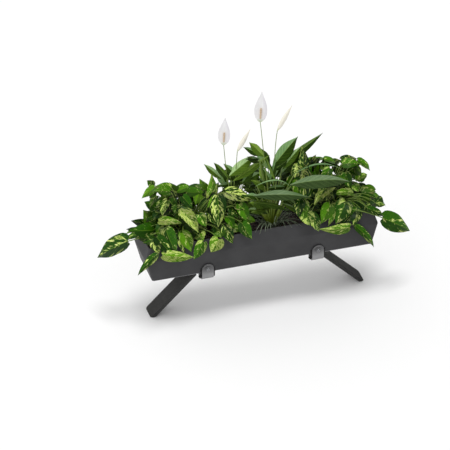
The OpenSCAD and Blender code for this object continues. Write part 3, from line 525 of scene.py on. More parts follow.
# The leaves of the plans that are a deep olive on both halves
DEEP_LEAVES = {"lily": (1, 3, 7, 10, 11, 13, 15, 20, 21, 25), "small_lily": (1, 3, 5, 9)}
LILY_FACE = unit([-0.15, -0.55, 0.8])
# Flowers: plant, bend of the stem, foot and tip of the white leaf, its width
FLOWER_PLAN = [
    ("lily", (50, 30, 458), (30, 30, 638), (40, 30, 838), 65),
    ("lily", (110, 30, 428), (130, 30, 558), (220, 40, 708), 28),
    ("small_lily", (-170, 40, 398), (-180, 40, 518), (-170, 40, 698), 60),
    ("small_lily", (-110, 40, 338), (-100, 40, 458), (-20, 50, 588), 28)]
FLOWER_FACE = unit([-0.3, -0.8, 0.25])
# White leaves narrower than this are still furled
WIDE_SPATHE = 40
SPATHE_BOW = -4 * MM
SPATHE_FOLD = 0.35
SPADIX_R = 4.5 * MM


def lily_seat(p):
    return vec(p[0] * MM, p[1] * MM * DEPTH_K, RIM_Z + p[2] * MM)


def lily_between(rng, root, a, b, w, bow):
    """A smaller leaf beside a plan leaf, nearer to the plant's middle."""
    middle = vec(mix(root[0], a[0], 0.6), root[1], a[2] - 0.03)
    shift = vec(rng.uniform(-0.035, 0.035), rng.uniform(-0.01, 0.03), rng.uniform(-0.05, 0))
    base = mix(a, middle, rng.uniform(0.1, 0.3)) + shift
    tip = base + (b - a) * rng.uniform(0.6, 0.85) + shift * 0.6
    tip[2] -= rng.uniform(0, 0.04)
    tip[2] = max(tip[2], RIM_Z + RIM_CLEAR)
    return base, tip, w * rng.uniform(0.55, 0.8), bow


def lily(name, node, plan):
    """One lily with its flower stems. The fact cream is 0 for green, 1 for pale, 2 for bluish.
    The fact shade paints upright leaves and pale straps lighter, drooping and inner leaves
    darker: painted light and shade.
    """
    root = ROOTS[name]
    rng = random.Random(SEEDS[name])
    leaves, stems = Builder(), Builder()
    places = [(lily_seat(a), lily_seat(b), w, bow) for a, b, w, bow in plan]
    for a, b, w, bow in list(places):
        if w >= PAIR_WIDTH:
            places.append(lily_between(rng, root, a, b, w, bow))
    for k, (a, b, w, bow) in enumerate(places):
        seed = rng.randrange(1, 10 ** 6)
        droops = b[2] - a[2] < DROOP_RISE
        # Painted light and shade: inner and drooping leaves are painted darker, upright ones and straps
        # lighter
        if k >= len(plan):
            shade, cream = rng.uniform(0.5, 0.85), rng.uniform(0, 1)
        else:
            shade = 0.75 if droops else 1.35
            cream = 1.5 if droops and w > BLUE_WIDTH else 0 if k in DEEP_LEAVES[name] else 1
        face = LILY_FACE
        if w < STRAP_WIDTH:
            shade, cream, face = 1.5, 1.4, UP
        d = unit(b - a)
        n = unit(face - d * (face @ d))
        leaf(leaves, a, b, w * MM * 1.12, n, bow * MM, seed, rng.uniform(-0.42, -0.18),
             curl=rng.uniform(0.02, 0.12), shade=shade, cream=cream, **LILY_LEAF)
        start = stalk_root(root, a, LILY_SPREAD)
        high = mix(start, a, vec(0.55, 0.5, 0.75))
        end = bow_point(a, bend(a, b, bow * MM, n), b, 0.03)
        stalk(stems, bow_line(start, high, end, 14), LILY_STALK, 8, seed)
    for plant, bend_at, foot, tip, w in FLOWER_PLAN:
        if plant == name:
            foot = lily_seat(foot)
            line = bow_line(stalk_root(root, foot, LILY_SPREAD), lily_seat(bend_at), foot, 24)
            stalk(stems, line, FLOWER_STALK, 7, SEEDS["flowers"])
    leaf_piece = leaves.make(node + "_leaves", "liner", "lily_leaf")
    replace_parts(leaf_piece, node)
    stems.make(node + "_stems", "liner", "lily_leaf", lily_stem)


def furled(builder, a, b, w, seed):
    """White leaf still wrapped round its spike: a slim shell that overlaps itself at the front."""
    mid = bend(a, b, SPATHE_BOW, FLOWER_FACE)
    rows, cols = 30, 21
    turns = np.linspace(-1.12 * pi, pi, cols)
    skins = []
    for inward in (0, 0.8 * MM):
        for t, p, _, side, up in places_along(a, mid, b, FLOWER_FACE, rows):
            r = 0.5 * w * np.interp(t, *SPATHE) + 0.2 * MM
            for turn in turns:
                reach = max(r * (0.93 + 0.06 * turn / pi) - inward, 0.1 * MM)
                skins.append(p - up * reach * cos(turn) * 0.8 + side * reach * sin(turn))
    builder.plate(skins, plate_faces(rows, cols), rows, turns / pi, seed)


def spathes():
    builder = Builder()
    for seed, (_, _, foot, tip, w) in enumerate(FLOWER_PLAN, SEEDS["spathes"]):
        a, b = lily_seat(foot), lily_seat(tip)
        if w > WIDE_SPATHE:
            leaf(builder, a, b, 1.12 * w * MM, FLOWER_FACE, SPATHE_BOW, seed, shade=1, **SPATHE_LEAF)
        else:
            furled(builder, a, b, w * MM, seed)
    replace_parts(builder.make("white_spathes", "liner", "spathe"), "spathes")


def spadices():
    """Knobbly spikes: every ring of points swells and shrinks in turn."""
    builder = Builder()
    along = np.linspace(0, 1, 60)
    ends = np.minimum(1, np.sqrt(np.maximum(0, 1 - ((along - 0.5) / 0.5) ** 2)) * 2.2 + 0.05)
    knobs = 1 + 0.07 * np.sin(along * 2 * pi * 15)
    for _, _, foot, tip, w in FLOWER_PLAN:
        a, b = lily_seat(foot), lily_seat(tip)
        r = SPADIX_R * (1 if w > WIDE_SPATHE else 0.6)
        mid = bend(a, b, SPATHE_BOW, FLOWER_FACE)
        side = unit(np.cross(FLOWER_FACE, b - a))
        out = unit(np.cross(b - a, side)) * (1.2 * MM + (r + 0.3 * MM) * hypot(1, SPATHE_FOLD))
        line = [bow_point(a, mid, b, t) + out for t in np.linspace(0.11, 0.46, 60)]
        tube(builder, line, r * ends * knobs, 16, seed=0.5)
    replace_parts(builder.make("flower_spikes", "liner", "spadix", sharp=80), "spadices")


GRASS_COUNT = 14
GRASS_LEN = 105 * MM
# Blades over the front rim: how far the tip lies to the side of the root and above the rim
LONG_BLADES = [(-128, 6), (-104, -14), (-72, -4), (-38, 4), (48, 2), (86, -6), (118, 4), (146, -10),
               (172, 8)]


def grass():
    """Thin dark blades round the lily's foot: the tuft's own blades, and finer ones between."""
    builder = Builder()
    root_x, root_y, _ = ROOTS["lily"]
    foot_z = SOIL_Z + 1.1 * MM
    rng = random.Random(SEEDS["grass"])
    for i in range(GRASS_COUNT * 3):
        if i % 3 == 0:
            share, out, rise = 1, 1, 55
            stretch, lean, wide, bow = 1, 0.35, 7, 22
        else:
            share, out, rise = rng.uniform(0.55, 0.95), rng.uniform(-0.6, 0.9), rng.uniform(45, 95)
            stretch, lean, wide, bow = 1.35, 0.7, 6, 34
        a = radians(180 + 120 * i / GRASS_COUNT)
        reach = GRASS_LEN * (0.75 + 0.25 * cos(radians(137 * i / 3))) * share * stretch
        r = LILY_CROWN_R + 14 * MM * out
        foot = vec(root_x + r * cos(a), root_y + r * sin(a), foot_z)
        tip = foot + vec(reach * cos(a), lean * reach * sin(a), rise * MM)
        leaf(builder, foot, tip, wide * MM, UP, bow * MM, SEEDS["blades"] + i, **BLADE_LEAF)
    for seed, (x, z) in enumerate(LONG_BLADES, SEEDS["long_blades"]):
        foot = vec(root_x + copysign(26 * MM, x), root_y - 18 * MM, foot_z)
        tip = vec(root_x + x * MM, -124 * MM, RIM_Z + z * MM)
        leaf(builder, foot, tip, 6.5 * MM, UP, rng.uniform(34, 48) * MM, seed, **BLADE_LEAF)
    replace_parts(builder.make("grass_blades", "liner", "grass"), "grass_tuft")


# Materials

def srgb(r, g, b):
    """Linear colour from 8-bit values."""
    return (*(((c / 255 + 0.055) / 1.055) ** 2.4 if c > 10 else c / 255 / 12.92 for c in (r, g, b)), 1)


def scaled(colour, k):
    return (*(c * k for c in srgb(*colour)[:3]), 1)


class Shader:
    """Nodes of a new material or world, with short calls for those that are used here."""

    def __init__(self, name, owners=bpy.data.materials):
        self.owner = owners.new(name)
        self.owner.use_nodes = True
        self.tree = self.owner.node_tree

    def put(self, socket, value):
        """A colour may be given as three 8-bit numbers."""
        if isinstance(value, bpy.types.NodeSocket):
            self.tree.links.new(value, socket)
        elif socket.type == "RGBA" and len(value) == 3:
            socket.default_value = srgb(*value)
        else:
            socket.default_value = value

    def node(self, kind, output, inputs=(), **settings):
        """One output of a new node."""
        made = self.tree.nodes.new("ShaderNode" + kind)
        for key, value in settings.items():
            setattr(made, key, value)
        for key, value in dict(inputs).items():
            self.put(made.inputs[key], value)
        return made.outputs[output]

    def set(self, main="Principled BSDF", **values):
        """Sets inputs of the main node, with _ for each space, and returns the material."""
        for key, value in values.items():
            self.put(self.tree.nodes[main].inputs[key.replace("_", " ")], value)
        return self.owner

    def math(self, operation, a, b=0):
        return self.node("Math", 0, {0: a, 1: b}, operation=operation)

    def times(self, a, b):
        return self.math("MULTIPLY", a, b)

    def plus(self, a, b):
        return self.math("ADD", a, b)

    def minus(self, a, b):
        return self.math("SUBTRACT", a, b)

    def sine(self, value, rate):
        return self.math("SINE", self.times(value, rate))

    def part(self, vector, axis):
        return self.node("SeparateXYZ", axis, {0: vector})

    def step(self, value, low, high, start=0, end=1, kind="SMOOTHSTEP"):
        inputs = {"Value": value, "From Min": low, "From Max": high, "To Min": start, "To Max": end}
        return self.node("MapRange", "Result", inputs, interpolation_type=kind)

    def place(self):
        return self.node("TexCoord", "Object")

    def height(self):
        return self.part(self.place(), "Z")

    def fact(self, name):
        """A number that the piece carries at its points."""
        return self.node("Attribute", "Fac", attribute_name=name)

    def vector(self, x, y, z):
        return self.node("CombineXYZ", 0, {0: x, 1: y, 2: z})

    def chance(self, number):
        """Random number from 0 to 1, always the same for the same number."""
        return self.node("TexWhiteNoise", "Value", {"W": number}, noise_dimensions="1D")

    def noise(self, scale, detail=3, vector=None, rough=0.55):
        inputs = {"Vector": vector or self.place(), "Scale": scale, "Detail": detail, "Roughness": rough}
        return self.node("TexNoise", "Fac", inputs)

    def cells(self, scale, output="Distance"):
        return self.node("TexVoronoi", output, {"Vector": self.place(), "Scale": scale})

    def mix(self, share, a, b, blend="MIX"):
        return self.node("Mix", 2, {0: share, 6: a, 7: b}, data_type="RGBA", blend_type=blend)

    def shaded(self, colour, k):
        return self.mix(1, colour, self.vector(k, k, k), "MULTIPLY")

    def ramp(self, value, places, colours):
        """8-bit colours, each at its place between 0 and 1."""
        made = self.node("ValToRGB", "Color", {"Fac": value})
        elements = made.node.color_ramp.elements
        while len(elements) < len(places):
            elements.new(0.5)
        for element, position, colour in zip(elements, places, colours):
            element.position = position
            element.color = srgb(*colour)
        return made

    def bump(self, height, strength, distance, under=None):
        inputs = {"Height": height, "Strength": strength, "Distance": distance}
        if under is not None:
            inputs["Normal"] = under
        return self.node("Bump", "Normal", inputs)

    def soft_edge(self, radius):
        return self.node("Bevel", "Normal", {"Radius": radius}, samples=4)


def coat_material(name, colour, edge=0, rough=(0.42, 0.56), shine=0.25, painted_highlight_z=None):
    """Powder coat: fine orange peel, a little unevenness, and dust that gathers on top. Below
    painted_highlight_z the coat is painted lighter: a painted highlight on the bottom bend."""
    s = Shader(name)
    base = s.mix(s.step(s.noise(5, 4), 0.3, 0.7), scaled(colour, 0.86), scaled(colour, 1.12))
    up = s.part(s.node("NewGeometry", "Normal"), "Z")
    dust = s.times(s.step(up, 0.55, 1), s.step(s.noise(60, 5), 0.35, 0.75, 0.02, 0.14))
    base = s.mix(dust, base, (150, 146, 140))
    if painted_highlight_z:
        # Painted highlight: a band along the bottom bend is painted lighter, as if it caught light from the
        # floor
        base = s.mix(s.step(s.height(), painted_highlight_z - MM, painted_highlight_z, 0.7, 0), base, (150, 150, 151))
    s.set(Base_Color=base, Specular_IOR_Level=shine)
    s.set(Roughness=s.step(s.noise(140, 3), 0.2, 0.8, *rough))
    peel = s.bump(s.noise(900, 2), 0.12, 0.4 * MM, s.soft_edge(edge) if edge else None)
    return s.set(Normal=s.bump(s.noise(7, 2), 0.25, 0.5 * MM, peel))


def steel_material(name, colour, metal, rough, edge, brushed=0, painted_reflection_heights=None):
    """Satin steel with fine lines across it and small smudges. Between the two heights of
    painted_reflection_heights it goes from light, below, to dark: a painted reflection of the floor."""
    s = Shader(name)
    stretched = s.node("Mapping", "Vector", {"Vector": s.place(), "Scale": (900, 60, 60)})
    smudge = s.noise(45, 4)
    base = s.mix(s.step(smudge, 0.35, 0.7), colour, scaled(colour, 1.15))
    # Painted reflection: lighter low down, where the bend would reflect the white floor
    if painted_reflection_heights:
        base = s.shaded(base, s.step(s.height(), *painted_reflection_heights, 1.35, 0.55))
    s.set(Base_Color=base, Metallic=metal)
    s.set(Roughness=s.step(smudge, 0.25, 0.75, rough - 0.06, rough + 0.08))
    lines = s.noise(1, 2, stretched)
    return s.set(Normal=s.bump(lines, 0.05 + brushed, 0.1 * MM, s.soft_edge(edge)))


def rubber_material():
    s = Shader("black_rubber")
    grain = s.noise(700, 3)
    s.set(Base_Color=s.mix(grain, (22, 22, 23), (38, 37, 37)))
    s.set(Roughness=s.step(grain, 0.2, 0.8, 0.68, 0.88), Specular_IOR_Level=0.3)
    return s.set(Normal=s.bump(grain, 0.3, 0.2 * MM, s.soft_edge(0.5 * MM)))


def plastic_material():
    s = Shader("liner_plastic")
    grain = s.noise(420, 3)
    dirt = s.step(s.noise(26, 5), 0.45, 0.75)
    s.set(Base_Color=s.mix(dirt, (30, 30, 31), (58, 50, 42)))
    s.set(Roughness=s.step(dirt, 0, 1, 0.42, 0.8))
    return s.set(Normal=s.bump(grain, 0.15, 0.2 * MM, s.soft_edge(0.6 * MM)))


def pebble_material():
    s = Shader("clay_pebbles")
    tone = s.node("SeparateColor", "Red", {0: s.cells(95, "Color")})
    s.set(Base_Color=s.ramp(tone, (0, 0.6, 1), ((96, 58, 40), (140, 88, 60), (168, 120, 88))))
    s.set(Roughness=s.step(tone, 0, 1, 0.75, 0.95))
    return s.set(Normal=s.bump(s.minus(1, s.cells(95)), 1, 5 * MM))


def fleece_material():
    s = Shader("filter_fleece")
    fibre = s.noise(600, 6)
    s.set(Base_Color=s.mix(fibre, (168, 165, 156), (206, 203, 194)), Roughness=0.95)
    return s.set(Normal=s.bump(fibre, 0.8, 0.6 * MM))


def soil_material():
    s = Shader("potting_soil")
    clod = s.noise(120, 8)
    crumb = s.cells(330)
    tone = s.mix(s.step(clod, 0.35, 0.68), (30, 26, 25), (88, 77, 74))
    s.set(Base_Color=s.mix(s.step(crumb, 0, 0.5, 0.5, 0), tone, (24, 20, 19)))
    s.set(Roughness=s.step(clod, 0.2, 0.8, 0.82, 1), Specular_IOR_Level=0.2)
    return s.set(Normal=s.bump(crumb, 0.7, 1.5 * MM, s.bump(clod, 1, 5 * MM)))


def bits_material():
    """Bark and white grains lie mixed; each bit's own number picks its colour."""
    s = Shader("soil_bits")
    kind = s.fact("seed")
    bark = s.mix(s.noise(300, 4), (60, 40, 26), (118, 84, 56))
    s.set(Base_Color=s.mix(s.step(kind, 0.74, 0.76), bark, (214, 210, 200)))
    return s.set(Roughness=0.9, Normal=s.bump(s.noise(500, 4), 0.6, 0.5 * MM))


# The facts that leaves carry: place across and along, own number, underside, painted light and shade, kind
# of green
LEAF_FACTS = ("leaf_u", "leaf_v", "seed", "under", "shade", "cream")
# The lily's greens, from dark to light, painted lit and shaded: the half to the light of a pale
# # leaf, of a deep one, the other half, the other half of a bluish leaf, and its half to the light
LILY_STOPS = (0.15, 0.5, 0.9)
LILY_GREENS = [
    ((62, 94, 50), (104, 138, 84), (164, 190, 132)),
    ((42, 68, 8), (74, 102, 20), (116, 144, 52)),
    ((16, 32, 2), (36, 58, 6), (76, 102, 26)),
    ((22, 34, 24), (40, 56, 40), (74, 94, 68)),
    ((36, 62, 36), (64, 96, 62), (116, 146, 108))]


def pothos_material():
    """Marbled leaf: cream streaks run along the side veins, from few to most of the leaf. Light
    and shade are painted: lighter on the half nearer to the light, darker on the other half
    and on leaves deep in the plant.
    """
    s = Shader("pothos_leaf")
    u, v, seed, under, shade, share = map(s.fact, LEAF_FACTS)
    edge = s.math("ABSOLUTE", u)
    vein = s.minus(v, s.times(s.math("POWER", edge, 1.2), 0.35))
    half = s.times(s.math("SIGN", u), 3.7)
    leaf_no = s.times(seed, 91)
    streak = s.vector(s.times(vein, 14), s.plus(s.times(edge, 2.2), half), leaf_no)
    patch = s.vector(s.times(vein, 4), s.plus(s.times(edge, 1.4), half), leaf_no)
    marble = s.plus(s.times(s.noise(1, 5, streak, 0.62), 0.5), s.times(s.noise(1, 2, patch), 0.5))
    limit = s.minus(0.64, s.times(share, 0.17))
    cream = s.step(s.minus(marble, limit), -0.02, 0.03)
    own = s.chance(s.plus(leaf_no, 17.3))
    tone = s.plus(s.times(own, 0.6), s.times(s.noise(3, 3, streak), 0.5))
    greens = ((8, 28, 0), (28, 72, 0), (60, 114, 4), (112, 164, 24))
    green = s.ramp(tone, (0.12, 0.42, 0.62, 0.9), greens)
    pale = s.mix(s.step(s.noise(2, 3, streak), 0.35, 0.7), (140, 180, 36), (228, 234, 148))
    blade = s.mix(cream, green, pale)
    midrib = s.step(edge, 0, 0.05, 0.7, 0)
    blade = s.mix(midrib, blade, (126, 166, 44))
    blade = s.mix(under, blade, s.mix(0.45, blade, (84, 118, 30)))
    # Painted light and shade: the half nearer to the light is painted lighter, the other darker, and shade
    # darkens leaves deep in the plant
    blade = s.shaded(blade, s.times(shade, s.step(u, -0.15, 0.15, 0.55, 1.15)))
    s.set(Base_Color=blade, Roughness=0.4, Specular_IOR_Level=0.12)
    puckers = s.bump(s.noise(60, 3), 0.25, 0.8 * MM)
    return s.set(Normal=s.bump(s.sine(vein, 46), 0.22, 0.5 * MM, puckers))


def lily_material():
    """The half that turns to the light is painted a pale blue-green, the other a deep olive:
    painted light and shade, with a painted sheen on the lit half.
    """
    s = Shader("lily_leaf")
    u, v, seed, under, shade, share = map(s.fact, LEAF_FACTS)
    edge = s.math("ABSOLUTE", u)
    vein = s.minus(v, s.times(edge, 0.22))
    across = s.vector(s.times(vein, 26), s.times(edge, 1.2), s.times(seed, 77))
    own = s.chance(s.times(seed, 53))
    tone = s.plus(s.times(own, 0.5), s.times(s.noise(1, 3, across), 0.55))
    bars = s.step(s.sine(vein, 52), 0.2, 0.95, 0, 0.12)
    tone = s.plus(tone, bars)
    blue, green, olive, slate, steel = (s.ramp(tone, LILY_STOPS, colours) for colours in LILY_GREENS)
    cool = s.step(share, 1, 2)
    lit = s.step(u, -0.1, 0.1)
    # Painted light: the half nearer to the light takes the lighter ramps
    pale = s.mix(cool, s.mix(s.step(share, 0, 1), green, blue), steel)
    top = s.mix(lit, s.mix(cool, olive, slate), pale)
    top = s.mix(s.step(edge, 0, 0.07, 0.6, 0), top, (128, 156, 74))
    low = s.ramp(tone, (0.2, 0.9), ((38, 62, 8), (84, 112, 30)))
    # The fact shade scales the colour: painted light and shade
    base = s.shaded(s.mix(under, top, low), shade)
    s.set(Base_Color=base, Roughness=0.36, Specular_IOR_Level=s.step(lit, 0, 1, 0.06, 0.26))
    puckers = s.bump(s.noise(40, 3), 0.2, MM)
    return s.set(Normal=s.bump(s.sine(vein, 120), 0.3, 0.4 * MM, puckers))


def stem_material(name, foot, top):
    s = Shader(name)
    v = s.fact("leaf_v")
    fibre = s.noise(260, 3)
    base = s.mix(s.step(v, 0.1, 0.9), foot, top)
    s.set(Base_Color=s.mix(s.step(fibre, 0.3, 0.8, 0, 0.4), base, (40, 52, 14)))
    return s.set(Roughness=0.45, Normal=s.bump(fibre, 0.3, 0.3 * MM))


def spathe_material():
    """White with faint veins, a greener foot and midrib. A furled one is cream. The half away
    from the light is painted a grey lilac: painted shade.
    """
    s = Shader("spathe")
    u, v, under = map(s.fact, ("leaf_u", "leaf_v", "under"))
    edge = s.math("ABSOLUTE", u)
    vein = s.sine(s.minus(v, s.times(edge, 0.5)), 70)
    petal = s.mix(s.noise(30, 3), (240, 239, 240), (250, 250, 250))
    # Painted shade: the half away from the light is greyed
    petal = s.mix(s.step(u, -0.9, 0.1, 0.55, 0), petal, (212, 208, 216))
    petal = s.mix(s.step(s.fact("shade"), 0, 1, 0.7, 0), petal, (238, 232, 210))
    petal = s.mix(s.step(v, 0, 0.14, 0.6, 0), petal, (170, 192, 128))
    midrib = s.times(s.step(edge, 0, 0.05, 0.3, 0), s.step(v, 0, 0.9, 1, 0.2))
    petal = s.mix(midrib, petal, (196, 210, 172))
    s.set(Base_Color=s.mix(s.times(under, 0.25), petal, (196, 206, 168)), Roughness=0.5)
    return s.set(Normal=s.bump(vein, 0.15, 0.4 * MM), Specular_IOR_Level=0.4)


def spadix_material():
    s = Shader("spadix")
    knob = s.cells(420)
    tone = s.mix(s.step(knob, 0.1, 0.6), (240, 226, 204), (204, 176, 142))
    return s.set(Base_Color=tone, Roughness=0.6, Normal=s.bump(s.minus(1, knob), 0.9, MM))


def grass_material():
    s = Shader("grass")
    u, v, seed = map(s.fact, LEAF_FACTS[:3])
    streak = s.noise(1, 3, s.vector(s.times(u, 9), s.times(v, 1.5), s.times(seed, 60)))
    colours = ((66, 80, 60), (112, 126, 100), (176, 184, 156))
    s.set(Base_Color=s.ramp(streak, (0.25, 0.55, 0.8), colours))
    return s.set(Roughness=0.5, Normal=s.bump(streak, 0.3, 0.3 * MM))


# The trough's lowest 5 mm get the painted highlight of the bottom bend
trough_coat = coat_material("trough_coat", (64, 64, 65), shine=0.15, painted_highlight_z=FLOOR_Z + 5 * MM)
pothos_stem = stem_material("pothos_stem", (66, 88, 20), (112, 140, 44))
lily_stem = stem_material("lily_stem", (106, 124, 24), (118, 144, 62))
materials = {
    "dark_coat": coat_material("dark_coat", (58, 58, 59), edge=1.2 * MM),
    "leg_coat": coat_material("leg_coat", (60, 60, 59), edge=2.5 * MM, rough=(0.6, 0.75), shine=0.04),
    # The clamps' steel is painted lighter towards its lower bend: a painted reflection
    "clamp_steel": steel_material("clamp_steel", (122, 122, 123), 0.7, 0.36, 1.6 * MM,
                                  painted_reflection_heights=(FLOOR_Z - 20 * MM, FLOOR_Z + 40 * MM)),
    "fastener_steel": steel_material("fastener_steel", (132, 133, 135), 1, 0.38, 0.5 * MM,
                                     brushed=0.06),
    "black_rubber": rubber_material(), "liner_plastic": plastic_material(),
    "clay_pebbles": pebble_material(), "fleece": fleece_material(), "potting_soil": soil_material(),
    "pothos_leaf": pothos_material(), "lily_leaf": lily_material(), "spathe": spathe_material(),
    "spadix": spadix_material(), "grass": grass_material()}
for sub in frame["record"]["subparts"]:
    for material_slot in frame["nodes"][sub["node"]].material_slots:
        material_slot.material = materials[sub["material_slot"]]


# The trough

def wall(z, inset):
    """The trough's outline at a height, rounded, and counter-clockwise seen from above."""
    if z <= CREASE_Z:
        hl = HALF_LEN - END_FLARE * (CREASE_Z - z) / BAND_H - inset
        hd = HALF_DEPTH - SIDE_FLARE * (CREASE_Z - z) / BAND_H - inset
    else:
        lean = COLLAR_LEAN * (z - CREASE_Z) / COLLAR_H
        hl, hd = HALF_LEN - lean - inset, HALF_DEPTH - lean - inset
    r = max(CORNER_R - inset, MM)
    ring = []
    for q, (sx, sy) in enumerate(((1, 1), (-1, 1), (-1, -1), (1, -1))):
        for i in range(CORNER_STEPS + 1):
            a = pi / 2 * (q + i / CORNER_STEPS)
            ring.append((sx * (hl - r) + r * cos(a), sy * (hd - r) + r * sin(a), z))
    return ring


def fold_rings(inset):
    """The crease as a small round fold, which pulls the wall in a little."""
    return [wall(CREASE_Z + k * FOLD_R, inset + 0.35 * FOLD_R * max(0, 1 - abs(k)) * 0.5)
            for k in (-1.5, -1, -0.6, -0.2, 0.2, 0.6, 1, 1.5)]


def cut(piece, cutters):
    """Takes the cutters out of the piece, and removes them."""
    for cutter in cutters:
        modifier = piece.modifiers.new("cut", "BOOLEAN")
        modifier.operation = "DIFFERENCE"
        modifier.solver = "EXACT"
        modifier.object = cutter
    bpy.context.view_layer.update()
    graph = bpy.context.evaluated_depsgraph_get()
    mesh = bpy.data.meshes.new_from_object(piece.evaluated_get(graph))
    piece.modifiers.clear()
    piece.data = mesh
    for cutter in cutters:
        bpy.data.objects.remove(cutter)


def cylinder(name, centre, axis, r, length):
    """Closed cylinder about a point, used to cut holes."""
    centre, axis = np.array(centre), np.array(axis, float)
    e = np.roll(axis, -1)
    f = np.cross(axis, e)
    rings = [circle(centre + axis * end * length, e, f, r, HOLE_SIDES) for end in (-0.5, 0.5)]
    return new_object(name, new_mesh(name, rings, tube_faces(2, HOLE_SIDES)))


def trough():
    """One closed shell: up the outside from the floor, over the hemmed rim, and down inside."""
    hem_t = 2 * SHEET_T
    bends, lips = np.linspace(0, pi / 2, 7), np.linspace(0, pi / 2, 5)
    rings = [
        wall(FLOOR_Z, BEND_R + MM),
        *(wall(FLOOR_Z + BEND_R * (1 - cos(a)), BEND_R * (1 - sin(a))) for a in bends),
        wall(FLOOR_Z + BEND_R + MM, 0), *fold_rings(0), wall(RIM_Z - 2 * LIP_R, 0),
        *(wall(RIM_Z - LIP_R * (1 - sin(a)), LIP_R * (1 - cos(a))) for a in lips),
        *(wall(RIM_Z - LIP_R * (1 - cos(a)), hem_t - LIP_R * (1 - sin(a))) for a in lips),
        wall(RIM_Z - HEM_H, hem_t), wall(RIM_Z - HEM_H, SHEET_T + 0.2 * MM),
        *reversed(fold_rings(SHEET_T)),
        wall(FLOOR_Z + BEND_R, SHEET_T), wall(FLOOR_Z + SHEET_T, BEND_R)]
    builder = Builder()
    builder.add(rings, tube_faces(len(rings), len(rings[0])))
    piece = builder.make("trough_body", "stand", "dark_coat", trough_coat, sharp=TROUGH_SHARP)
    bolt_z = box_middle("clamp_washers").z
    cutters = []
    for side in ("left", "right"):
        spigot = box_middle("drain_plug_" + side)
        cutters.append(cylinder("drain_" + side, (spigot.x, spigot.y, FLOOR_Z), UP, DRAIN_R, 20 * MM))
        clamp = box_middle("arm_" + side)
        cutters.append(cylinder("bolt_" + side, (clamp.x, 0, bolt_z), (0, 1, 0), BOLT_HOLE_R, 0.4))
    cut(piece, cutters)
    piece.data.set_sharp_from_angle(angle=radians(TROUGH_SHARP))
    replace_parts(piece, "trough_shell")


# The soil

def soil_bed():
    """Rough bed with rounded corners. Its lower edge follows the liner's taper."""
    lo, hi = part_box("substrate")
    hl, hd, r = hi.x, hi.y, SOIL_CORNER_R
    nx, ny = ((330, 60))
    rng = np.random.default_rng(SEEDS["soil"])
    waves = [(rng.uniform(8, 160), rng.uniform(0, FULL_TURN), rng.uniform(0, FULL_TURN))
             for _ in range(26)]
    points = []
    for x in np.linspace(-hl, hl, nx):
        for y in np.linspace(-hd, hd, ny):
            dx, dy = abs(x) - (hl - r), abs(y) - (hd - r)
            px, py = x, y
            if dx > 0 and dy > 0:
                k = max(dx, dy) / hypot(dx, dy)
                px = copysign(hl - r + dx * k, x)
                py = copysign(hd - r + dy * k, y)
            bumps = sum(sin(f * (px * cos(t) + py * sin(t)) + p) / (1 + f / 30) for f, t, p in waves)
            edge = min(1, min(hl - abs(px), hd - abs(py)) / (12 * MM))
            points.append((px, py, SOIL_Z - 2.5 * MM + edge * (2.5 * MM + 0.9 * MM * bumps)))
    top = np.array(points)
    low = top.copy()
    low[:, 2] = lo.z
    in_step = LINER_TAPER * (hi.z - lo.z) / (liner_hi.z - liner_lo.z)
    low[:, 0] *= (hl - in_step) / hl
    low[:, 1] *= (hd - in_step) / hd
    builder = Builder()
    builder.add([top, low], [tuple(reversed(f)) for f in plate_faces(nx, ny)])
    piece = builder.make("soil_bed", "liner", "potting_soil", sharp=70)
    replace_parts(piece, "substrate", "root_ball_left", "root_ball_right", "root_ball_lily",
                "root_ball_small_lily")


def soil_bits():
    """Chips of bark, and smaller and rounder white grains among them."""
    hl, hd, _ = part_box("substrate")[1]
    bits = Builder()
    chips = random.Random(SEEDS["bits"])
    for _ in range(900):
        kind = chips.random()
        bark = kind < 0.75
        long = (chips.uniform(3, 9) if bark else chips.uniform(1.6, 3.2)) * MM
        wide = long * (chips.uniform(0.3, 0.6) if bark else chips.uniform(0.7, 1))
        x, y = chips.uniform(-hl + 0.02, hl - 0.02), chips.uniform(-hd + 0.015, hd - 0.015)
        turn, tilt = chips.uniform(0, FULL_TURN), chips.uniform(-0.5, 0.5)
        along = vec(cos(turn), sin(turn), tilt)
        across = unit(np.cross([0, 0, 1], along))
        lift = np.cross(unit(along), across)
        centre = vec(x, y, SOIL_Z + 2.2 * MM)
        points = []
        for share, thin in ((-0.5, 0.45), (-0.2, 1), (0.25, 1), (0.5, 0.45)):
            width = wide * thin * chips.uniform(0.8, 1.1)
            thick = width * chips.uniform(0.3, 0.5)
            points += circle(centre + along * share * long, across * width / 2, lift * thick, 1, 5)
        bits.add(points, tube_faces(4, 5), seed=kind)
    bits.make("soil_bits", "liner", "potting_soil", bits_material(), sharp=60)


# Floor, light and camera

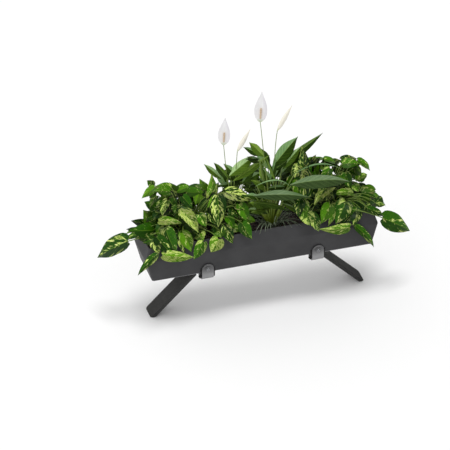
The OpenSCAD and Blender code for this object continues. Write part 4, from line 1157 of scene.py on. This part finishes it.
def floor():
    h = FLOOR_HALF
    mesh = new_mesh("studio_floor", [(-h, -h, 0), (h, -h, 0), (h, h, 0), (-h, h, 0)], [(0, 1, 2, 3)])
    white = (0.97, 0.97, 0.97, 1)
    paint = Shader("studio_floor").set(Base_Color=white, Roughness=0.9, Specular_IOR_Level=0.1)
    mesh.materials.append(paint)
    piece = new_object("studio_floor", mesh)


def lights():
    """White world, seen as it is but lighting the part more from the left, and one soft sun."""
    world = Shader("studio", bpy.data.worlds)
    rays = [world.node("LightPath", "Is " + kind + " Ray") for kind in ("Camera", "Transmission")]
    seen = world.math("MAXIMUM", *rays)
    side = world.part(world.node("TexCoord", "Generated"), "X")
    light = world.step(side, -WORLD_TURN, WORLD_TURN, *WORLD_LIGHT, "LINEAR")
    strength = world.step(seen, 0, 1, light, 1, "LINEAR")
    scene.world = world.set("Background", Color=(1, 1, 1, 1), Strength=strength)
    data = bpy.data.lights.new("key", "SUN")
    data.energy = SUN_POWER
    data.angle = SUN_ANGLE
    new_object("key", data).rotation_euler = Vector(SUN_DIRECTION).to_track_quat("Z", "Y").to_euler()


def camera():
    data = bpy.data.cameras.new("photo_camera")
    data.sensor_width = SENSOR
    data.lens = PIXELS_PER_M * CAMERA_DISTANCE * SENSOR / IMAGE_SIZE
    data.clip_end = CLIP_END
    towards = Vector(VIEW)
    eye = new_object("photo_camera", data)
    eye.location = Vector(TARGET) + towards * CAMERA_DISTANCE
    eye.rotation_euler = towards.to_track_quat("Z", "Y").to_euler()
    scene.camera = eye


trough()
soil_bed()
soil_bits()
pothos("left", plan_rows(POTHOS_PLAN + LEFT_END_PLAN), LEFT_SHOOT)
right_plan = [(plan_right(a), plan_right(b), w) for a, b, w in plan_rows(POTHOS_PLAN)]
right_plan += [(mirror_x(a), mirror_x(b), w) for a, b, w in plan_rows(RIGHT_END_PLAN)]
pothos("right", right_plan, [mirror_x(p) for p in RIGHT_SHOOT])
lily("lily", "peace_lily", plan_rows(LILY_PLAN))
lily("small_lily", "small_peace_lily", plan_rows(SMALL_LILY_PLAN))
spathes()
spadices()
grass()
floor()
lights()
camera()
scene.view_settings.view_transform = "Standard"
